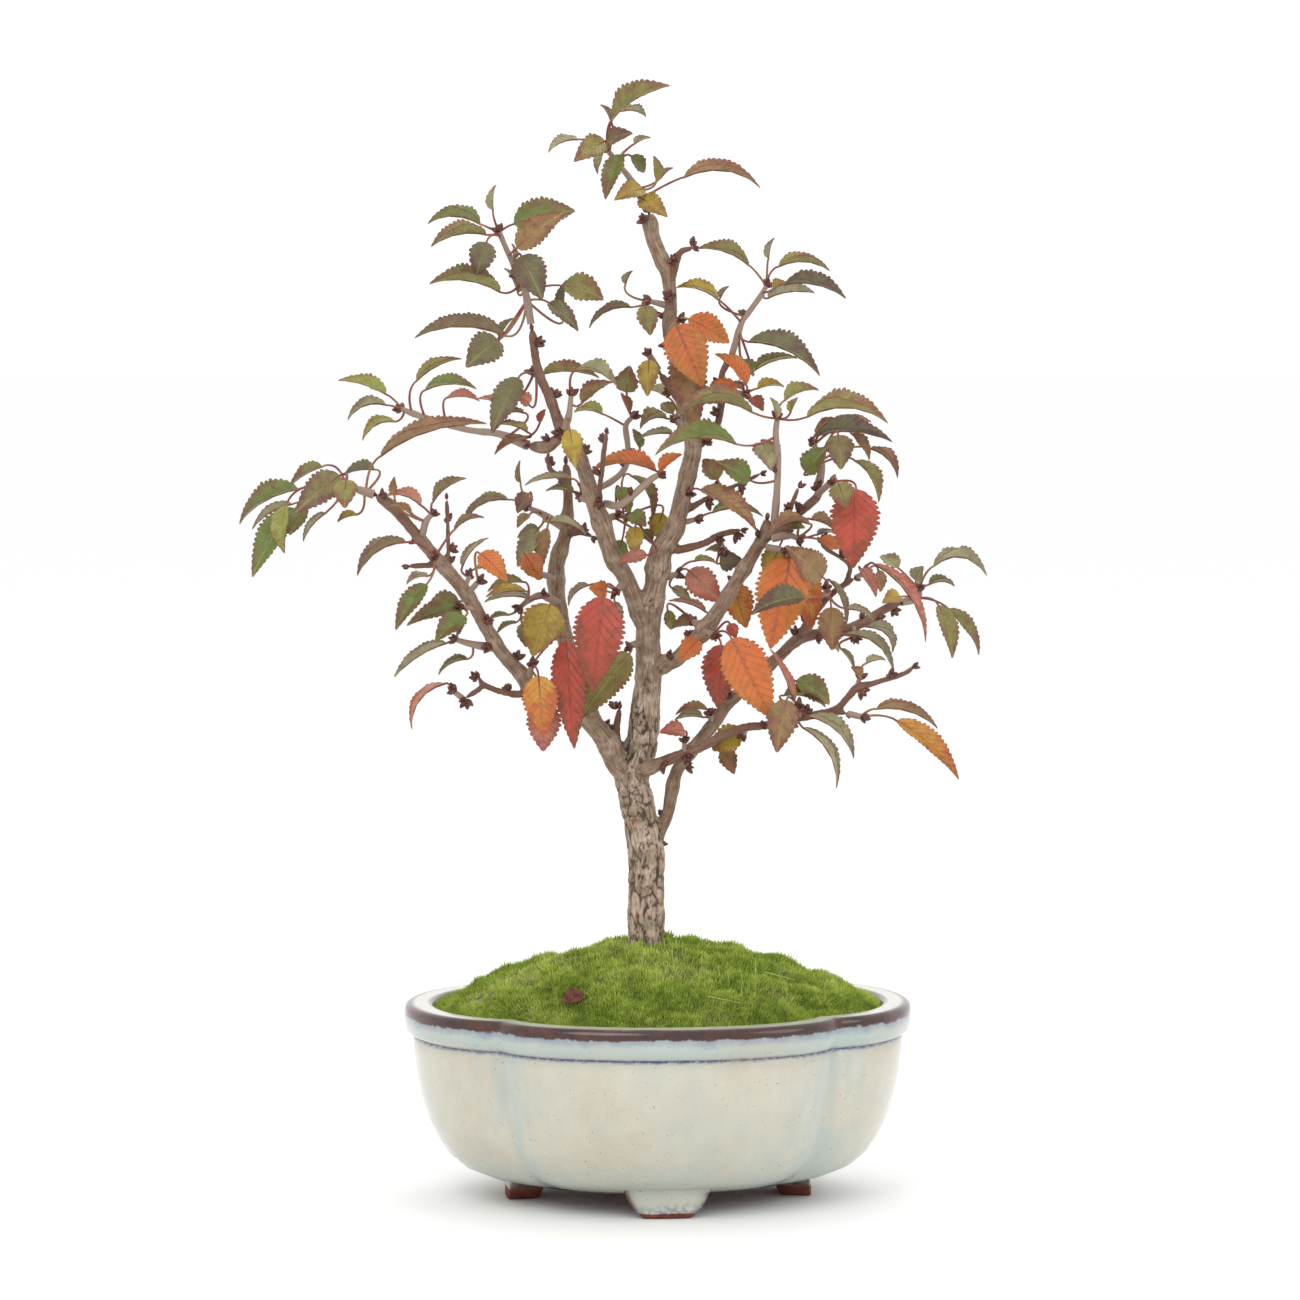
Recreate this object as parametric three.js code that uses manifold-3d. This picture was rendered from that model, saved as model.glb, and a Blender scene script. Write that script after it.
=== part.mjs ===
// Kojo-no-mai fuji cherry bonsai in a glazed quatrefoil pot, in late autumn leaf.
// Millimetres, +Z up. The model stands on z = 0, with the middle of its box over the origin.

import * as THREE from "three";
import { mergeVertices } from "three/addons/utils/BufferGeometryUtils.js";
import Module from "manifold-3d";

const wasm = await Module();
wasm.setup();

// Pot: half widths are measured across the lobes, left to right
const POT_HALF_WIDTH = 85;
const POT_NARROWER_FRONT_TO_BACK = 15.5;
const POT_HEIGHT = 65.7;
const RIM_LEDGE = 9.5;
const LIP_HEIGHT = 10.5;
const LIP_STEP = 2.2;
const FLOOR_UNDERSIDE = 6.5;
const FLOOR_TOP = 12.5;
const CREASE_DEPTH = 0.075;
const CREASE_SHARPNESS = 3;
const OUTLINE_POINTS = 32;

// Profiles of the wall, as [half width, height]
const LIP_FOOT = POT_HEIGHT - LIP_HEIGHT;
const OUTER_WALL = [
  [51, FLOOR_UNDERSIDE], [66, 11.6], [74, 20.7], [79.3, 34],
  [POT_HALF_WIDTH - 0.5 - LIP_STEP, LIP_FOOT], [POT_HALF_WIDTH - 0.5, LIP_FOOT + 0.8],
  [POT_HALF_WIDTH, POT_HEIGHT - 2.5], [POT_HALF_WIDTH - 1.5, POT_HEIGHT],
];
const INNER_WALL = [
  [POT_HALF_WIDTH - RIM_LEDGE, POT_HEIGHT], [74, 50], [68, 25], [54, FLOOR_TOP],
];

// Feet, each an arc about the pot's middle, as [height, width, thickness], and drain holes
const FOOT_LEVELS = [[0, 14, 10], [2.2, 20, 11], [5, 24, 11.8], [10, 30, 12.5]];
const SIDE_FOOT_RADIUS = 46.5;
const FRONT_FOOT_RADIUS = 41;
const DRAIN_RADIUS = 6;
const DRAIN_OFFSET = 24;
const DRAIN_CUT = 20;

// Drain screens
const SCREEN_SIZE = 20;
const SCREEN_THICKNESS = 0.8;
const SCREEN_OPENING = 6.6;
const SCREEN_PITCH = 8.4;

// Soil and moss
const GAP = 0.35;
const SOIL_EDGE_HEIGHT = 59.5;
const SOIL_RISE = 15;
const MOSS_EDGE_HEIGHT = 65;
const MOSS_RISE = 21.5;
const MOSS_LUMP = 0.9;
const MOSS_RINGS = 5;
const SOIL_RINGS = 3;
const MOUND_ROUNDNESS = 1.7;
const MOSS_BELOW_RIM = 1.2;

// The tree was measured from the front. A route point is [side, up, depth, radius]: side and
// up are seen in the plane of the trunk, and depth is how far the point lies behind it, before
// the crown is made deeper by CROWN_DEPTH.
const SIGHT_DISTANCE = 1600;
const SIGHT_HEIGHT = 297;
const SIGHT_TURN = THREE.MathUtils.degToRad(4);
const CROWN_DEPTH = 1.4;

// Leaves
const BLADE_THICKNESS = 0.7;
const SHORT_BLADE = 19;
const LONG_BLADE = 31;
const HANGING_ROLL = 90;
const SPREAD_FOLD = 46;
const HANGING_FOLD = 13.6;
const PETIOLE_RADIUS = 0.55;
const PETIOLE_SWEEP = 0.45;
const PETIOLE_OFFSET = 0.35;
const LONG_PETIOLE = 16;
const PETIOLE_BENDS = [-1, 0.5, 1];
const STEM_SIDES = 4;
const BUD_RADIUS = 1.8;
const BUD_REACH = 1.2;
const ROOT_SHARE = 0.75;

// Wood grown as one piece: the sides of each limb's section, then its route
const LIMBS = [
  // Trunk and leader
  [8, [[-4, 56, 0, 6.7], [-4, 84, 0, 6.4], [-4, 100.7, 0, 6.2], [-4, 115, 0, 6.3],
    [-6, 127, 1, 5.8], [-7.8, 135.3, 2, 5.8], [-8.8, 141.7, 2, 6.2], [-5.5, 152, 1, 5.6],
    [-4.5, 162.3, 0, 5.2], [-3.3, 173, 0, 4.7], [-3.2, 191.3, 0, 4.2], [-0.8, 205.7, -1, 3.8],
    [1, 216.7, -2, 4], [5.2, 223.7, -3, 3.2], [8, 234, -3, 3], [10.3, 244, -3, 3],
    [11.7, 251.3, -3, 3], [9.7, 262, -2, 2.6], [7.3, 270, -1, 2], [5.7, 279.5, 0, 1.9],
    [3.3, 290.3, 1, 2], [4.2, 297.7, 1, 2.2], [3.3, 308.3, 2, 2.4], [1.3, 313.4, 2, 2.6],
    [-1.7, 320.7, 3, 2.6], [-3, 328.7, 3, 2.4]]],
  // Second leader, to the left
  [5, [[-3.5, 190, 0, 3], [-6, 195.7, -1, 3.3], [-10.8, 207.8, -2, 3], [-15.2, 215, -3, 3],
    [-18.8, 226, -4, 3.2], [-21.7, 233.8, -5, 2.8], [-24.7, 244, -7, 2.6],
    [-28.2, 251.3, -8, 2.3], [-32.5, 258.3, -9, 2], [-36.1, 267.8, -10, 1.7],
    [-39, 274.3, -11, 1.5], [-40.5, 279.5, -11, 1.4], [-42, 290.3, -11, 1.4]]],
  // Lower left branch, which comes forward
  [5, [[-8.5, 141, 1, 4], [-13.7, 145.7, 0, 4], [-16.7, 152.2, -2, 3.7], [-23.1, 160.1, -5, 3.4],
    [-33, 167, -7, 2.9], [-42.7, 171, -10, 2.6], [-45.5, 175.3, -11, 2.5],
    [-52, 182.5, -14, 2.4], [-57.1, 190.5, -17, 2.3], [-61.4, 198.4, -19, 2.3],
    [-66.5, 205.7, -21, 2.3], [-71.5, 211.4, -22, 2.4], [-78.8, 220, -21, 1.9],
    [-88.2, 231, -20, 1.8], [-94, 235.3, -20, 1.7]]],
  // Root of the long left twig
  [5, [[-30, 257, -9, 1.6], [-36.7, 251.7, -9, 2.1], [-42.7, 251.7, -7, 2]]],
  // Left branch at the back, cut off at its top
  [5, [[-17, 153, -1, 3], [-19.3, 155.7, 3, 2.6], [-24.3, 167.3, 10, 2.8],
    [-29.3, 180.7, 16, 2.9], [-33.3, 198.3, 22, 2.9], [-34, 211.3, 25, 2.9], [-32.2, 218, 26, 2.6],
    [-30.7, 223.7, 27, 2.3], [-30, 233.1, 28, 1.8], [-30.7, 245.8, 29, 1.6]]],
  [4, [[-31, 222, 27, 1.5], [-26, 223, 24, 1.1], [-22, 221.5, 22, 0.9]]],
  [4, [[-30.2, 240, 28.5, 1.1], [-36, 244, 27, 0.9], [-36.7, 250.7, 26, 0.7]]],
  // Right branch and its fork
  [5, [[-1, 176, -1, 3], [3, 179.5, -2, 2.8], [6, 180.3, -3, 2.7], [11.7, 186.1, -5, 2.6],
    [15.3, 189.8, -6, 3], [21.2, 198.4, -8, 2.5], [26.9, 207.8, -10, 2.4], [31.3, 215, -11, 2.2],
    [35.6, 222.3, -12, 2.2], [36.3, 227.3, -12, 1.4]]],
  [4, [[35.5, 221.5, -12, 1.8], [38.3, 224, -12, 1.5]]],
  [4, [[36, 220.8, -12, 1.6], [42, 224, -12, 1.5], [47.2, 229.5, -10, 1.4],
    [52.9, 234.7, -7, 1.5], [53.6, 238.2, -6, 1.7]]],
  [4, [[41, 223.5, -12, 1], [46.9, 238, -13, 0.8]]],
  // Lower right branch, which leaves the trunk low and runs behind
  [5, [[-2, 112, 0, 3], [-1, 119, 1, 2.4], [3, 128, 2, 2.1], [4.2, 134, 3, 2.3],
    [6, 142.3, 4, 2.2], [9, 147.1, 5, 2.4], [13.7, 153, 7, 2.2], [19.7, 160.3, 10, 2.2],
    [23.3, 165.7, 11, 2.1], [30.7, 172.3, 13, 2.1], [39.7, 180.7, 14, 2], [46.9, 187.2, 12, 2],
    [54.9, 189.3, 11, 1.9], [63.5, 190.8, 16, 1.8], [70, 193.7, 21, 1.7], [75.8, 197.3, 26, 1.6],
    [80.5, 199.2, 29.5, 1.4]]],
  [4, [[47.5, 188, 11.5, 1.6], [50, 192.5, 7, 1.4], [55, 199.5, -1, 1.2], [60, 204, -3, 1.1],
    [65.5, 207.5, -2, 1]]],
  [4, [[62.5, 205.8, -2.5, 0.9], [63.8, 212, -4, 0.8], [56, 217.5, -5, 0.8],
    [54.5, 219.5, -6, 1]]],
  // Lowest right branch, which comes forward
  [5, [[-5, 143, -2, 3], [0, 145.3, -4, 2.2], [9, 149, -5, 1.8], [17.3, 152.5, -8, 1.7],
    [24.3, 156, -11, 1.6], [30.3, 157.8, -13, 1.5], [35.3, 158.3, -15, 1.4],
    [46.9, 160.8, -19, 1.4], [58.5, 163.3, -23, 1.3], [63.5, 167.7, -25, 1.2],
    [66.3, 170.7, -26, 1.4], [72.9, 172.7, -28, 1], [82.3, 175.7, -30, 0.9],
    [85.2, 177.8, -31, 1]]],
  [4, [[58, 163.2, -23, 1.2], [63, 162.4, -25, 1.1]]],
  // Upper right twig
  [4, [[10.5, 249, -3, 1.6], [14, 252.3, -1, 1.4], [19.7, 259, 3, 1.3], [21.3, 269, 7, 1.3],
    [21.3, 275.7, 10, 1.2], [24, 281, 13, 1.2]]],
  // Stubs and bare twigs
  [4, [[8.5, 265.5, -1.5, 1.6], [0.7, 275.7, 0, 1.4]]],
  [4, [[4, 306, 1.5, 1.7], [7, 315.5, 1, 1.2], [11.5, 317.5, 0, 1]]],
  [4, [[-19.3, 232, -5, 1.2], [-19.5, 237, -12, 1], [-17.3, 256, -24, 0.9]]],
  [4, [[4, 217, -2, 1.6], [8, 217.3, -3, 1.4], [15.3, 219.3, -4, 1.3], [21.2, 222.3, -5, 1.2],
    [27.7, 223.7, -6, 1.1]]],
  [4, [[8, 229.5, -3, 1.2], [18.3, 235.3, 0, 0.9], [26.9, 239, 3, 0.8], [34.2, 242.5, 5, 0.8]]],
  [4, [[-42.5, 171, -10, 1.3], [-44.8, 168.8, -11, 1.2], [-52, 169.5, -12, 1.1],
    [-59, 172.3, -13, 1], [-60, 174.5, -13, 1]]],
  [4, [[-58, 171.6, -13, 0.9], [-64.5, 167.5, -14, 0.9]]],
  [4, [[-71, 212, -22, 1], [-70, 216, -21.5, 0.8], [-70.5, 234, -20, 0.7]]],
  [4, [[-73, 212, -22.5, 1.1], [-83.3, 211.7, -24, 0.9]]],
  [4, [[-11, 150, 1, 1.8], [-14, 154, 0, 1.4], [-13, 164, -1, 1.1]]],
];

// Leafy shoots, one node each. stem is the route of its twig or bud spur, from the wood out.
// A leaf is [side, up, depth] of the blade's base, the same of its tip, then roll, bow and
// width: roll is how far its upper face turns from the sky (0) to the front (90), in degrees,
// and bow is how far its middle arches off the line from base to tip.
const SHOOTS = [
  { "name": "leaves_top", "slot": "leaf_green",
    "stem": [[-3.6, 330.5, 3, 1.9], [-4.3, 332.3, 4, 1.7], [-9, 340, 5, 1.2], [-13, 345, 6, 1],
      [-16.5, 349.5, 7, 0.9]],
    "leaves": [
      [-15, 360.5, 5, 4, 371, -2, 35, 2.5, 11], [-15.5, 359.5, 9, -19, 365, 12, 20, 0.5, 4],
      [-11.5, 363, 12, -4, 361, 18, -10, 1, 5], [-17, 353, 2, -8.5, 355.5, -4, 60, 0.8, 6],
      [-8, 352, 4, -2.5, 354, 8, 20, 0.5, 3.5], [-17.5, 353, 3, -28, 346, -6, 70, 1.2, 8],
      [-27, 353.5, 10, -36.5, 349.5, 18, -20, 1.2, 5], [-12, 348.5, 0, -17.5, 333.5, -4, 60, 1.5, 7],
      [-18, 350, 9, -20, 342, 12, 40, 0.8, 4], [-9, 348, 8, -4.5, 342.5, 14, 60, 0.8, 5],
      [-5, 337, 2, -14.5, 333.5, -6, 60, 1, 7], [-6, 334, 1, 3, 328, -6, 70, 1.2, 7],
      [-0.5, 340, 6, -1.5, 348, 9, 50, 0.8, 4], [1, 341, 9, 5, 344, 14, 30, 0.5, 3],
      [8.5, 341, 8, 34, 338, 12, 15, 4, 8]] },
  { "name": "leaves_upper_left", "slot": "leaf_green",
    "stem": [[-42.3, 292.3, -11, 1.4], [-44.1, 302.7, -11, 1.3], [-47, 309.8, -11, 1.2],
      [-50.7, 317.8, -10, 1], [-52.8, 322.8, -10, 0.9]],
    "leaves": [
      [-55, 330, -10, -54, 338.5, -8, 30, 0.6, 4], [-59, 325.5, -8, -76.5, 326, -2, 5, 2.4, 8.5],
      [-57, 322, -13, -75.5, 318, -20, 12, 2.2, 9], [-57, 319.5, -16, -60.5, 308, -19, 85, 1.2, 8.5],
      [-52.5, 303, -14, -76, 306, -22, 15, 2.5, 11], [-46.5, 302.5, -8, -51, 311, -2, 25, 0.8, 5],
      [-48, 325.5, -9, -27.5, 330, -4, 65, 1.8, 11], [-47, 317.5, -14, -31, 329.5, -17, 70, 1.5, 9],
      [-45.5, 315, -15, -38.5, 300.5, -20, 85, 1.5, 11], [-48, 314, -8, -48.5, 319, -4, 20, 0.4, 3],
      [-31.5, 305, -8, -18, 300.5, -6, 60, 1.5, 10], [-36.5, 299.5, -12, -26.5, 290, -16, 60, 1.2, 6],
      [-31.5, 295, -4, -30.5, 307, 2, 40, 1, 5], [-53, 287, -14, -64, 278, -20, 75, 1.5, 11],
      [-51, 288.5, -9, -81, 288, -4, -5, 3.4, 10], [-53, 288, -6, -48, 294.5, -2, 30, 0.6, 4]] },
  { "name": "leaves_left_reach", "slot": "leaf_green",
    "stem": [[-43.5, 252, -6.6, 1.8], [-52.7, 255.7, -2, 1.3], [-64.3, 257.3, 6, 1.1],
      [-78, 261.3, 16, 1.1], [-85.3, 264, 22, 0.9]],
    "leaves": [
      [-90.5, 269, 22, -106.5, 273.5, 28, 35, 1.5, 7], [-90.5, 265.5, 20, -103.5, 260.5, 16, 0, 2.5, 6],
      [-87.5, 260, 20, -98.5, 253.5, 18, 10, 2.5, 6], [-80.5, 273.5, 18, -65.5, 281, 20, 20, 1.5, 6],
      [-77.5, 270.5, 14, -60.5, 271, 8, 25, 2, 7], [-70, 268, 9, -59.5, 267, 2, 30, 1, 5],
      [-44, 254.5, -10, -54.5, 249, -16, 30, 1.2, 5], [-43.5, 256.5, -12, -53.5, 259, -20, 0, 1, 4],
      [-45, 263, -12, -52, 262, -18, 20, 0.8, 4], [-39.5, 259.5, -10, -37.5, 264, -8, 50, 0.4, 3]] },
  { "name": "leaves_far_left", "slot": "leaf_green",
    "stem": [[-94.8, 235.6, -20, 1.7], [-98.3, 236.7, -20, 1.4], [-104, 238.5, -20, 0.9]],
    "leaves": [
      [-120, 237.5, -16, -140, 226, -8, 30, 2.5, 10], [-122, 232.5, -22, -135.5, 224, -26, -5, 1.6, 5],
      [-121, 231, -26, -135.5, 208, -34, 60, 2.5, 10], [-124, 232, -30, -125, 216, -36, 50, 1.5, 7],
      [-117, 231.5, -22, -123, 222, -20, 70, 1, 5], [-111, 229.5, -18, -118.5, 220, -14, 0, 1, 4],
      [-106, 242, -26, -121, 229.5, -34, 75, 1.5, 10], [-112, 245, -12, -123, 238, -4, 25, 1, 6],
      [-94.5, 244, -14, -105, 242, -8, 30, 1, 6], [-104, 240.5, -30, -104.5, 231, -34, 80, 1, 8],
      [-100.5, 229, -22, -107, 226.5, -26, 30, 0.6, 4], [-92.5, 248.5, -18, -57, 259, -26, 15, 3.5, 9]] },
  { "name": "leaves_left_bend", "slot": "leaf_green",
    "stem": [[-79, 220.5, -21, 1.3], [-77.5, 226.5, -22, 1], [-75.5, 228.8, -22, 0.8]],
    "leaves": [
      [-88, 235, -24, -88, 241.5, -25, 60, 0.3, 3], [-79, 232, -18, -91, 235, -10, 20, 2, 6],
      [-82, 229, -25, -89, 232, -32, 30, 0.6, 4], [-75, 233.5, -24, -64, 241, -30, 30, 1.5, 6]] },
  { "name": "leaves_left_knot", "slot": "leaf_green",
    "stem": [[-72.5, 212.5, -23, 1.3], [-74.5, 214.5, -26.5, 0.9]],
    "leaves": [
      [-68, 224, -26, -58, 228, -30, 20, 1.5, 4], [-84, 219.8, -28, -100.5, 208.5, -36, 10, 3, 8],
      [-77, 208.5, -30, -84, 205.7, -36, 20, 1, 4], [-77.3, 205.7, -32, -87.8, 190.4, -38, 60, 1.5, 7]] },
  { "name": "leaves_left_cluster", "slot": "leaf_green",
    "stem": [[-65, 204, -20, 1.1], [-63, 208, -17, 0.8]],
    "leaves": [
      [-65.5, 211.5, -14, -56.5, 221, -8, 10, 1.5, 4], [-60.5, 211, -12, -54, 211, -6, 10, 0.5, 3]] },
  { "name": "leaves_left_orange", "slot": "leaf_orange",
    "stem": [[-63.5, 202.5, -21, 1], [-60, 206.5, -26, 0.8]],
    "leaves": [[-59.5, 216, -29, -50.5, 206.5, -33, 70, 1.5, 7.5]] },
  { "name": "leaves_back_left", "slot": "leaf_green",
    "stem": [[-31.5, 224.5, 27, 1.5], [-38.5, 229, 29, 1.2], [-43, 231, 31, 0.9]],
    "leaves": [
      [-50, 234, 32, -65, 226, 40, 5, 3, 6], [-43, 236, 28, -47, 229.5, 24, 70, 0.6, 6],
      [-46, 239.5, 34, -46, 247, 38, 20, 0.4, 3], [-43, 229, 24, -47, 224.5, 20, 50, 0.5, 4],
      [-40, 224.5, 30, -47, 221, 36, 30, 0.6, 4], [-40, 224, 22, -47, 211.5, 18, 70, 1.2, 7],
      [-37, 224.5, 20, -39.5, 209, 19, 70, 1.2, 5], [-36, 226.5, 22, -24, 222.5, 14, -10, 1.5, 5]] },
  { "name": "leaves_mid_left", "slot": "leaf_green",
    "stem": [[-33.5, 199.5, 21, 1.5], [-39, 202, 14, 1.2], [-43.5, 200, 10, 0.9], [-46, 198, 8, 0.8]],
    "leaves": [
      [-45, 206.5, 8, -57, 203, 2, 35, 1.5, 5], [-44.5, 203.5, 4, -57.5, 201.5, -4, 25, 1, 5],
      [-43, 201, 12, -58, 199.5, 18, 0, 1.5, 5], [-50, 195.5, 6, -57, 193.5, 2, 20, 0.6, 3],
      [-47.5, 193, 4, -54, 189, -2, 20, 0.8, 3], [-36, 199, 6, -42, 181.5, 2, 85, 1.5, 14],
      [-45.5, 192.5, 12, -44, 184.5, 10, 80, 0.6, 5]] },
  { "name": "leaves_mid_orange", "slot": "leaf_orange",
    "stem": [[-35, 207.5, 21, 1.1], [-41, 210, 9, 0.8]],
    "leaves": [[-44.5, 215.5, 9, -39.5, 207, 6, 75, 0.8, 8]] },
  { "name": "leaves_left_green", "slot": "leaf_green",
    "stem": [[-60.5, 197.5, -19, 1.1], [-65.5, 198, -22, 0.8]],
    "leaves": [
      [-66.5, 200, -16, -78, 196.5, -10, 35, 1.2, 7], [-66, 197.5, -22, -84, 191.9, -28, 50, 2, 7],
      [-64.5, 195, -26, -74.5, 186.5, -32, 60, 1.2, 8]] },
  { "name": "leaves_left_nest", "slot": "leaf_green",
    "stem": [[-55, 184.3, -15, 1.5], [-62, 185.5, -16, 1.3], [-67.5, 187, -17, 0.9]],
    "leaves": [
      [-70.8, 186, -16, -88.2, 174.5, -10, 0, 1.5, 6], [-63.6, 180.7, -14, -73.5, 175.4, -8, 15, 1.5, 4],
      [-67, 188.5, -17, -68, 201.5, -12, 40, 0.5, 3.5]] },
  { "name": "leaves_low_twig", "slot": "leaf_red",
    "stem": [[-65.3, 167.3, -14, 1], [-68.2, 169.6, -15.5, 0.8]],
    "leaves": [[-71.5, 172.4, -16, -82.7, 157.2, -22, 5, 3.5, 5]] },
  { "name": "leaves_deep_red", "slot": "leaf_red",
    "stem": [[-10.5, 206.5, -2, 1.5], [-14, 203.5, -8, 1]],
    "leaves": [
      [-18.5, 201.5, -20, -22, 169.5, -26, 90, 2.5, 16], [-17, 203.2, -13, -23, 204.5, -17, 80, 0.4, 6],
      [-23, 205.5, -6, -30, 198.5, -2, 0, 1.5, 4], [-14.5, 200, -7, -13, 190.5, -9, 70, 0.6, 4]] },
  { "name": "leaves_low_orange", "slot": "leaf_orange",
    "stem": [[-43.5, 173, -10, 1.2], [-42.3, 178.5, -15, 0.9]],
    "leaves": [
      [-31, 187, -16, -28, 150.5, -22, 90, 2, 11], [-40, 175, -20, -38.3, 154.7, -24, 90, 1.5, 11.5],
      [-38, 166, -16, -38.5, 149.5, -18, 90, 1, 11]] },
  { "name": "leaves_trunk_left", "slot": "leaf_green",
    "stem": [[-5, 186.5, -1, 1.4], [-9.5, 185, -7, 0.9]],
    "leaves": [[-9.5, 182.5, -10, -26, 160.5, -15, 75, 2, 12]] },
  { "name": "leaves_between", "slot": "leaf_green",
    "stem": [[-18, 227, -3, 1.4], [-14, 228.5, 3, 1], [-11, 228, 6, 0.8]],
    "leaves": [
      [-9, 242, 6, -2.5, 226.5, 2, 30, 3.5, 6], [-13, 238, 4, -9.5, 229, 0, 70, 1, 6],
      [-9, 229.5, -2, -4, 225, -6, 75, 0.5, 6], [-7.5, 225, -4, -8, 215, -8, 85, 1, 6],
      [1.5, 229.5, 10, -1, 221.5, 12, 80, 0.6, 7], [-12, 220.5, 6, -14, 212.5, 8, 80, 0.6, 6],
      [-5, 224, 3, -2, 219, 3, 60, 0.4, 4], [-3.5, 215.5, -8, -13.5, 212.5, -8, 60, 1, 5]] },
  { "name": "leaves_leader_knot", "slot": "leaf_green",
    "stem": [[-21.5, 232.5, -4, 1.2], [-25.5, 234.5, 2, 0.9]],
    "leaves": [
      [-29, 241, 5, -44.5, 239, 12, 0, 1.2, 4], [-28, 236.5, 4, -37.5, 237, 10, 20, 0.8, 4]] },
  { "name": "leaves_centre_orange", "slot": "leaf_orange",
    "stem": [[-17.5, 232.5, -7, 1.4], [-12.3, 232.3, -12, 1.2], [-2.8, 240.3, -14, 1.1],
      [0, 242, -14, 0.9]],
    "leaves": [
      [-0.5, 243.5, -12, -22.5, 243.5, -9, 25, 3, 9], [0.5, 243, -15, 8, 249, -20, 40, 0.8, 6]] },
  { "name": "leaves_centre", "slot": "leaf_green",
    "stem": [[-21.5, 237, -4, 1.2], [-15.5, 240, 1, 1], [-11, 244.5, 2, 1], [-10.1, 251.2, 3, 0.9],
      [-10.8, 258.4, 4, 0.9], [-8.7, 261.3, 4, 0.8]],
    "leaves": [
      [-10.5, 269.5, 4, -9.5, 278.5, 2, 75, 0.6, 8], [-18.5, 262.5, 6, -28, 263, 12, 20, 1.2, 6],
      [-11.5, 268.5, 8, -9, 263.5, 12, 60, 0.5, 3], [-6, 251, 6, -8.5, 257.5, 10, 50, 0.5, 4]] },
  { "name": "leaves_leader_left", "slot": "leaf_green",
    "stem": [[-31.3, 257.5, -11, 1.2], [-29.7, 262, -12, 1], [-29, 268.5, -12, 0.8]],
    "leaves": [
      [-27, 277, -13, -13.7, 271.6, -18, 30, 2.5, 8], [-25.5, 266, -8, -15, 273, -2, 40, 1.5, 7],
      [-29.5, 257.5, -16, -27.5, 244.5, -18, 85, 1, 7]] },
  { "name": "leaves_leader_side", "slot": "leaf_green",
    "stem": [[-38.5, 273, -11, 1.1], [-41.3, 276, -8, 0.8]],
    "leaves": [
      [-38.5, 275.8, -5, -19.5, 274.5, 1, 25, 1.8, 7], [-46.5, 274.5, -14, -55.5, 256, -21, 75, 2, 9],
      [-52, 266, -4, -60, 267.5, 2, 20, 0.5, 4], [-43, 265.5, -15, -47, 269.5, -17, 60, 0.4, 5]] },
  { "name": "leaves_stub", "slot": "leaf_green",
    "stem": [[0, 277, 0, 1.3], [-3, 282, -1, 1.1]],
    "leaves": [[-3, 280.5, -4, -3.6, 268.4, -7, 85, 1, 7]] },
  { "name": "leaves_leader_mid", "slot": "leaf_green",
    "stem": [[10, 258.5, -1, 1.2], [6.5, 260, 4, 0.8]],
    "leaves": [
      [3, 261, 5, -6, 257.5, 2, 20, 2, 8], [5, 262.5, 8, 1, 266, 12, 60, 0.4, 5],
      [3.5, 268, 9, -3, 271, 14, 40, 0.8, 6], [5, 256, 3, -7, 254, -3, -10, 1, 4]] },
  { "name": "leaves_leader_high", "slot": "leaf_green",
    "stem": [[3, 298.5, 1, 1.4], [-2.5, 299.8, 2, 0.9]],
    "leaves": [
      [-9, 298, 4, -23, 291, 10, 5, 2.5, 5], [-11, 305.5, 4, -8.5, 310, 6, 30, 0.4, 3.5],
      [-4.5, 298.5, -2, -2.5, 288.5, -5, 80, 0.8, 7]] },
  { "name": "leaves_leader_orange", "slot": "leaf_orange",
    "stem": [[4, 290.5, 0, 1.2], [7, 293.5, -5, 0.9]],
    "leaves": [
      [6, 292, -10, 15, 271.5, -15, 90, 1.8, 14], [8, 286, -6, 13, 257.5, -11, 90, 2, 12],
      [10, 294, -8, 23.7, 286, -4, 70, 1.5, 9]] },
  { "name": "leaves_right_orange", "slot": "leaf_orange",
    "stem": [[21.6, 270.5, 7, 1.1], [28.5, 269, 2, 0.9]],
    "leaves": [
      [29.5, 272, 0, 19, 282.5, -4, 40, 1.5, 8], [26, 272.5, -2, 14.5, 266, -3, 80, 1, 8],
      [31, 268, -2, 35, 263.5, -6, 60, 0.4, 5], [28.5, 270.5, 5, 23.5, 272.5, 11, 40, 0.4, 4],
      [33, 271, 5, 42, 271.5, 10, 25, 1, 5]] },
  { "name": "leaves_top_right", "slot": "leaf_green",
    "stem": [[24.6, 282.3, 13.6, 1.2], [27.7, 292.5, 16, 1], [29.5, 295.3, 17, 1],
      [33.8, 301.2, 19, 0.9], [36, 304.8, 20, 0.8]],
    "leaves": [
      [30, 312, 18, 13, 317.5, 10, 25, 2, 8], [20, 300.5, 12, 6, 304.5, 8, 25, 1.8, 7],
      [20.5, 301, 16, 23.5, 305, 20, 30, 0.3, 3], [36.5, 314, 20, 38.5, 321, 22, 30, 0.5, 3.5],
      [40, 311.5, 22, 57, 310, 28, 10, 2.5, 7], [42, 305.5, 20, 62.5, 301, 16, 25, 2.5, 9],
      [38, 304, 14, 42, 306.5, 8, 40, 0.5, 4], [36.5, 301, 24, 52, 302.5, 32, -10, 1.5, 7],
      [30, 286.5, 12, 54, 275.5, 6, 35, 3.5, 11], [32, 277, 14, 46.5, 281, 18, 20, 1.5, 6],
      [31, 276, 10, 27, 280.5, 6, 60, 0.5, 6]] },
  { "name": "leaves_right_shoot", "slot": "leaf_green",
    "stem": [[38.7, 225.5, -12.2, 1.4], [39.6, 236.7, -13, 1.2], [39.9, 247, -13, 1.2],
      [39.2, 255.7, -14, 1.1], [39.7, 261, -14, 0.9]],
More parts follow.
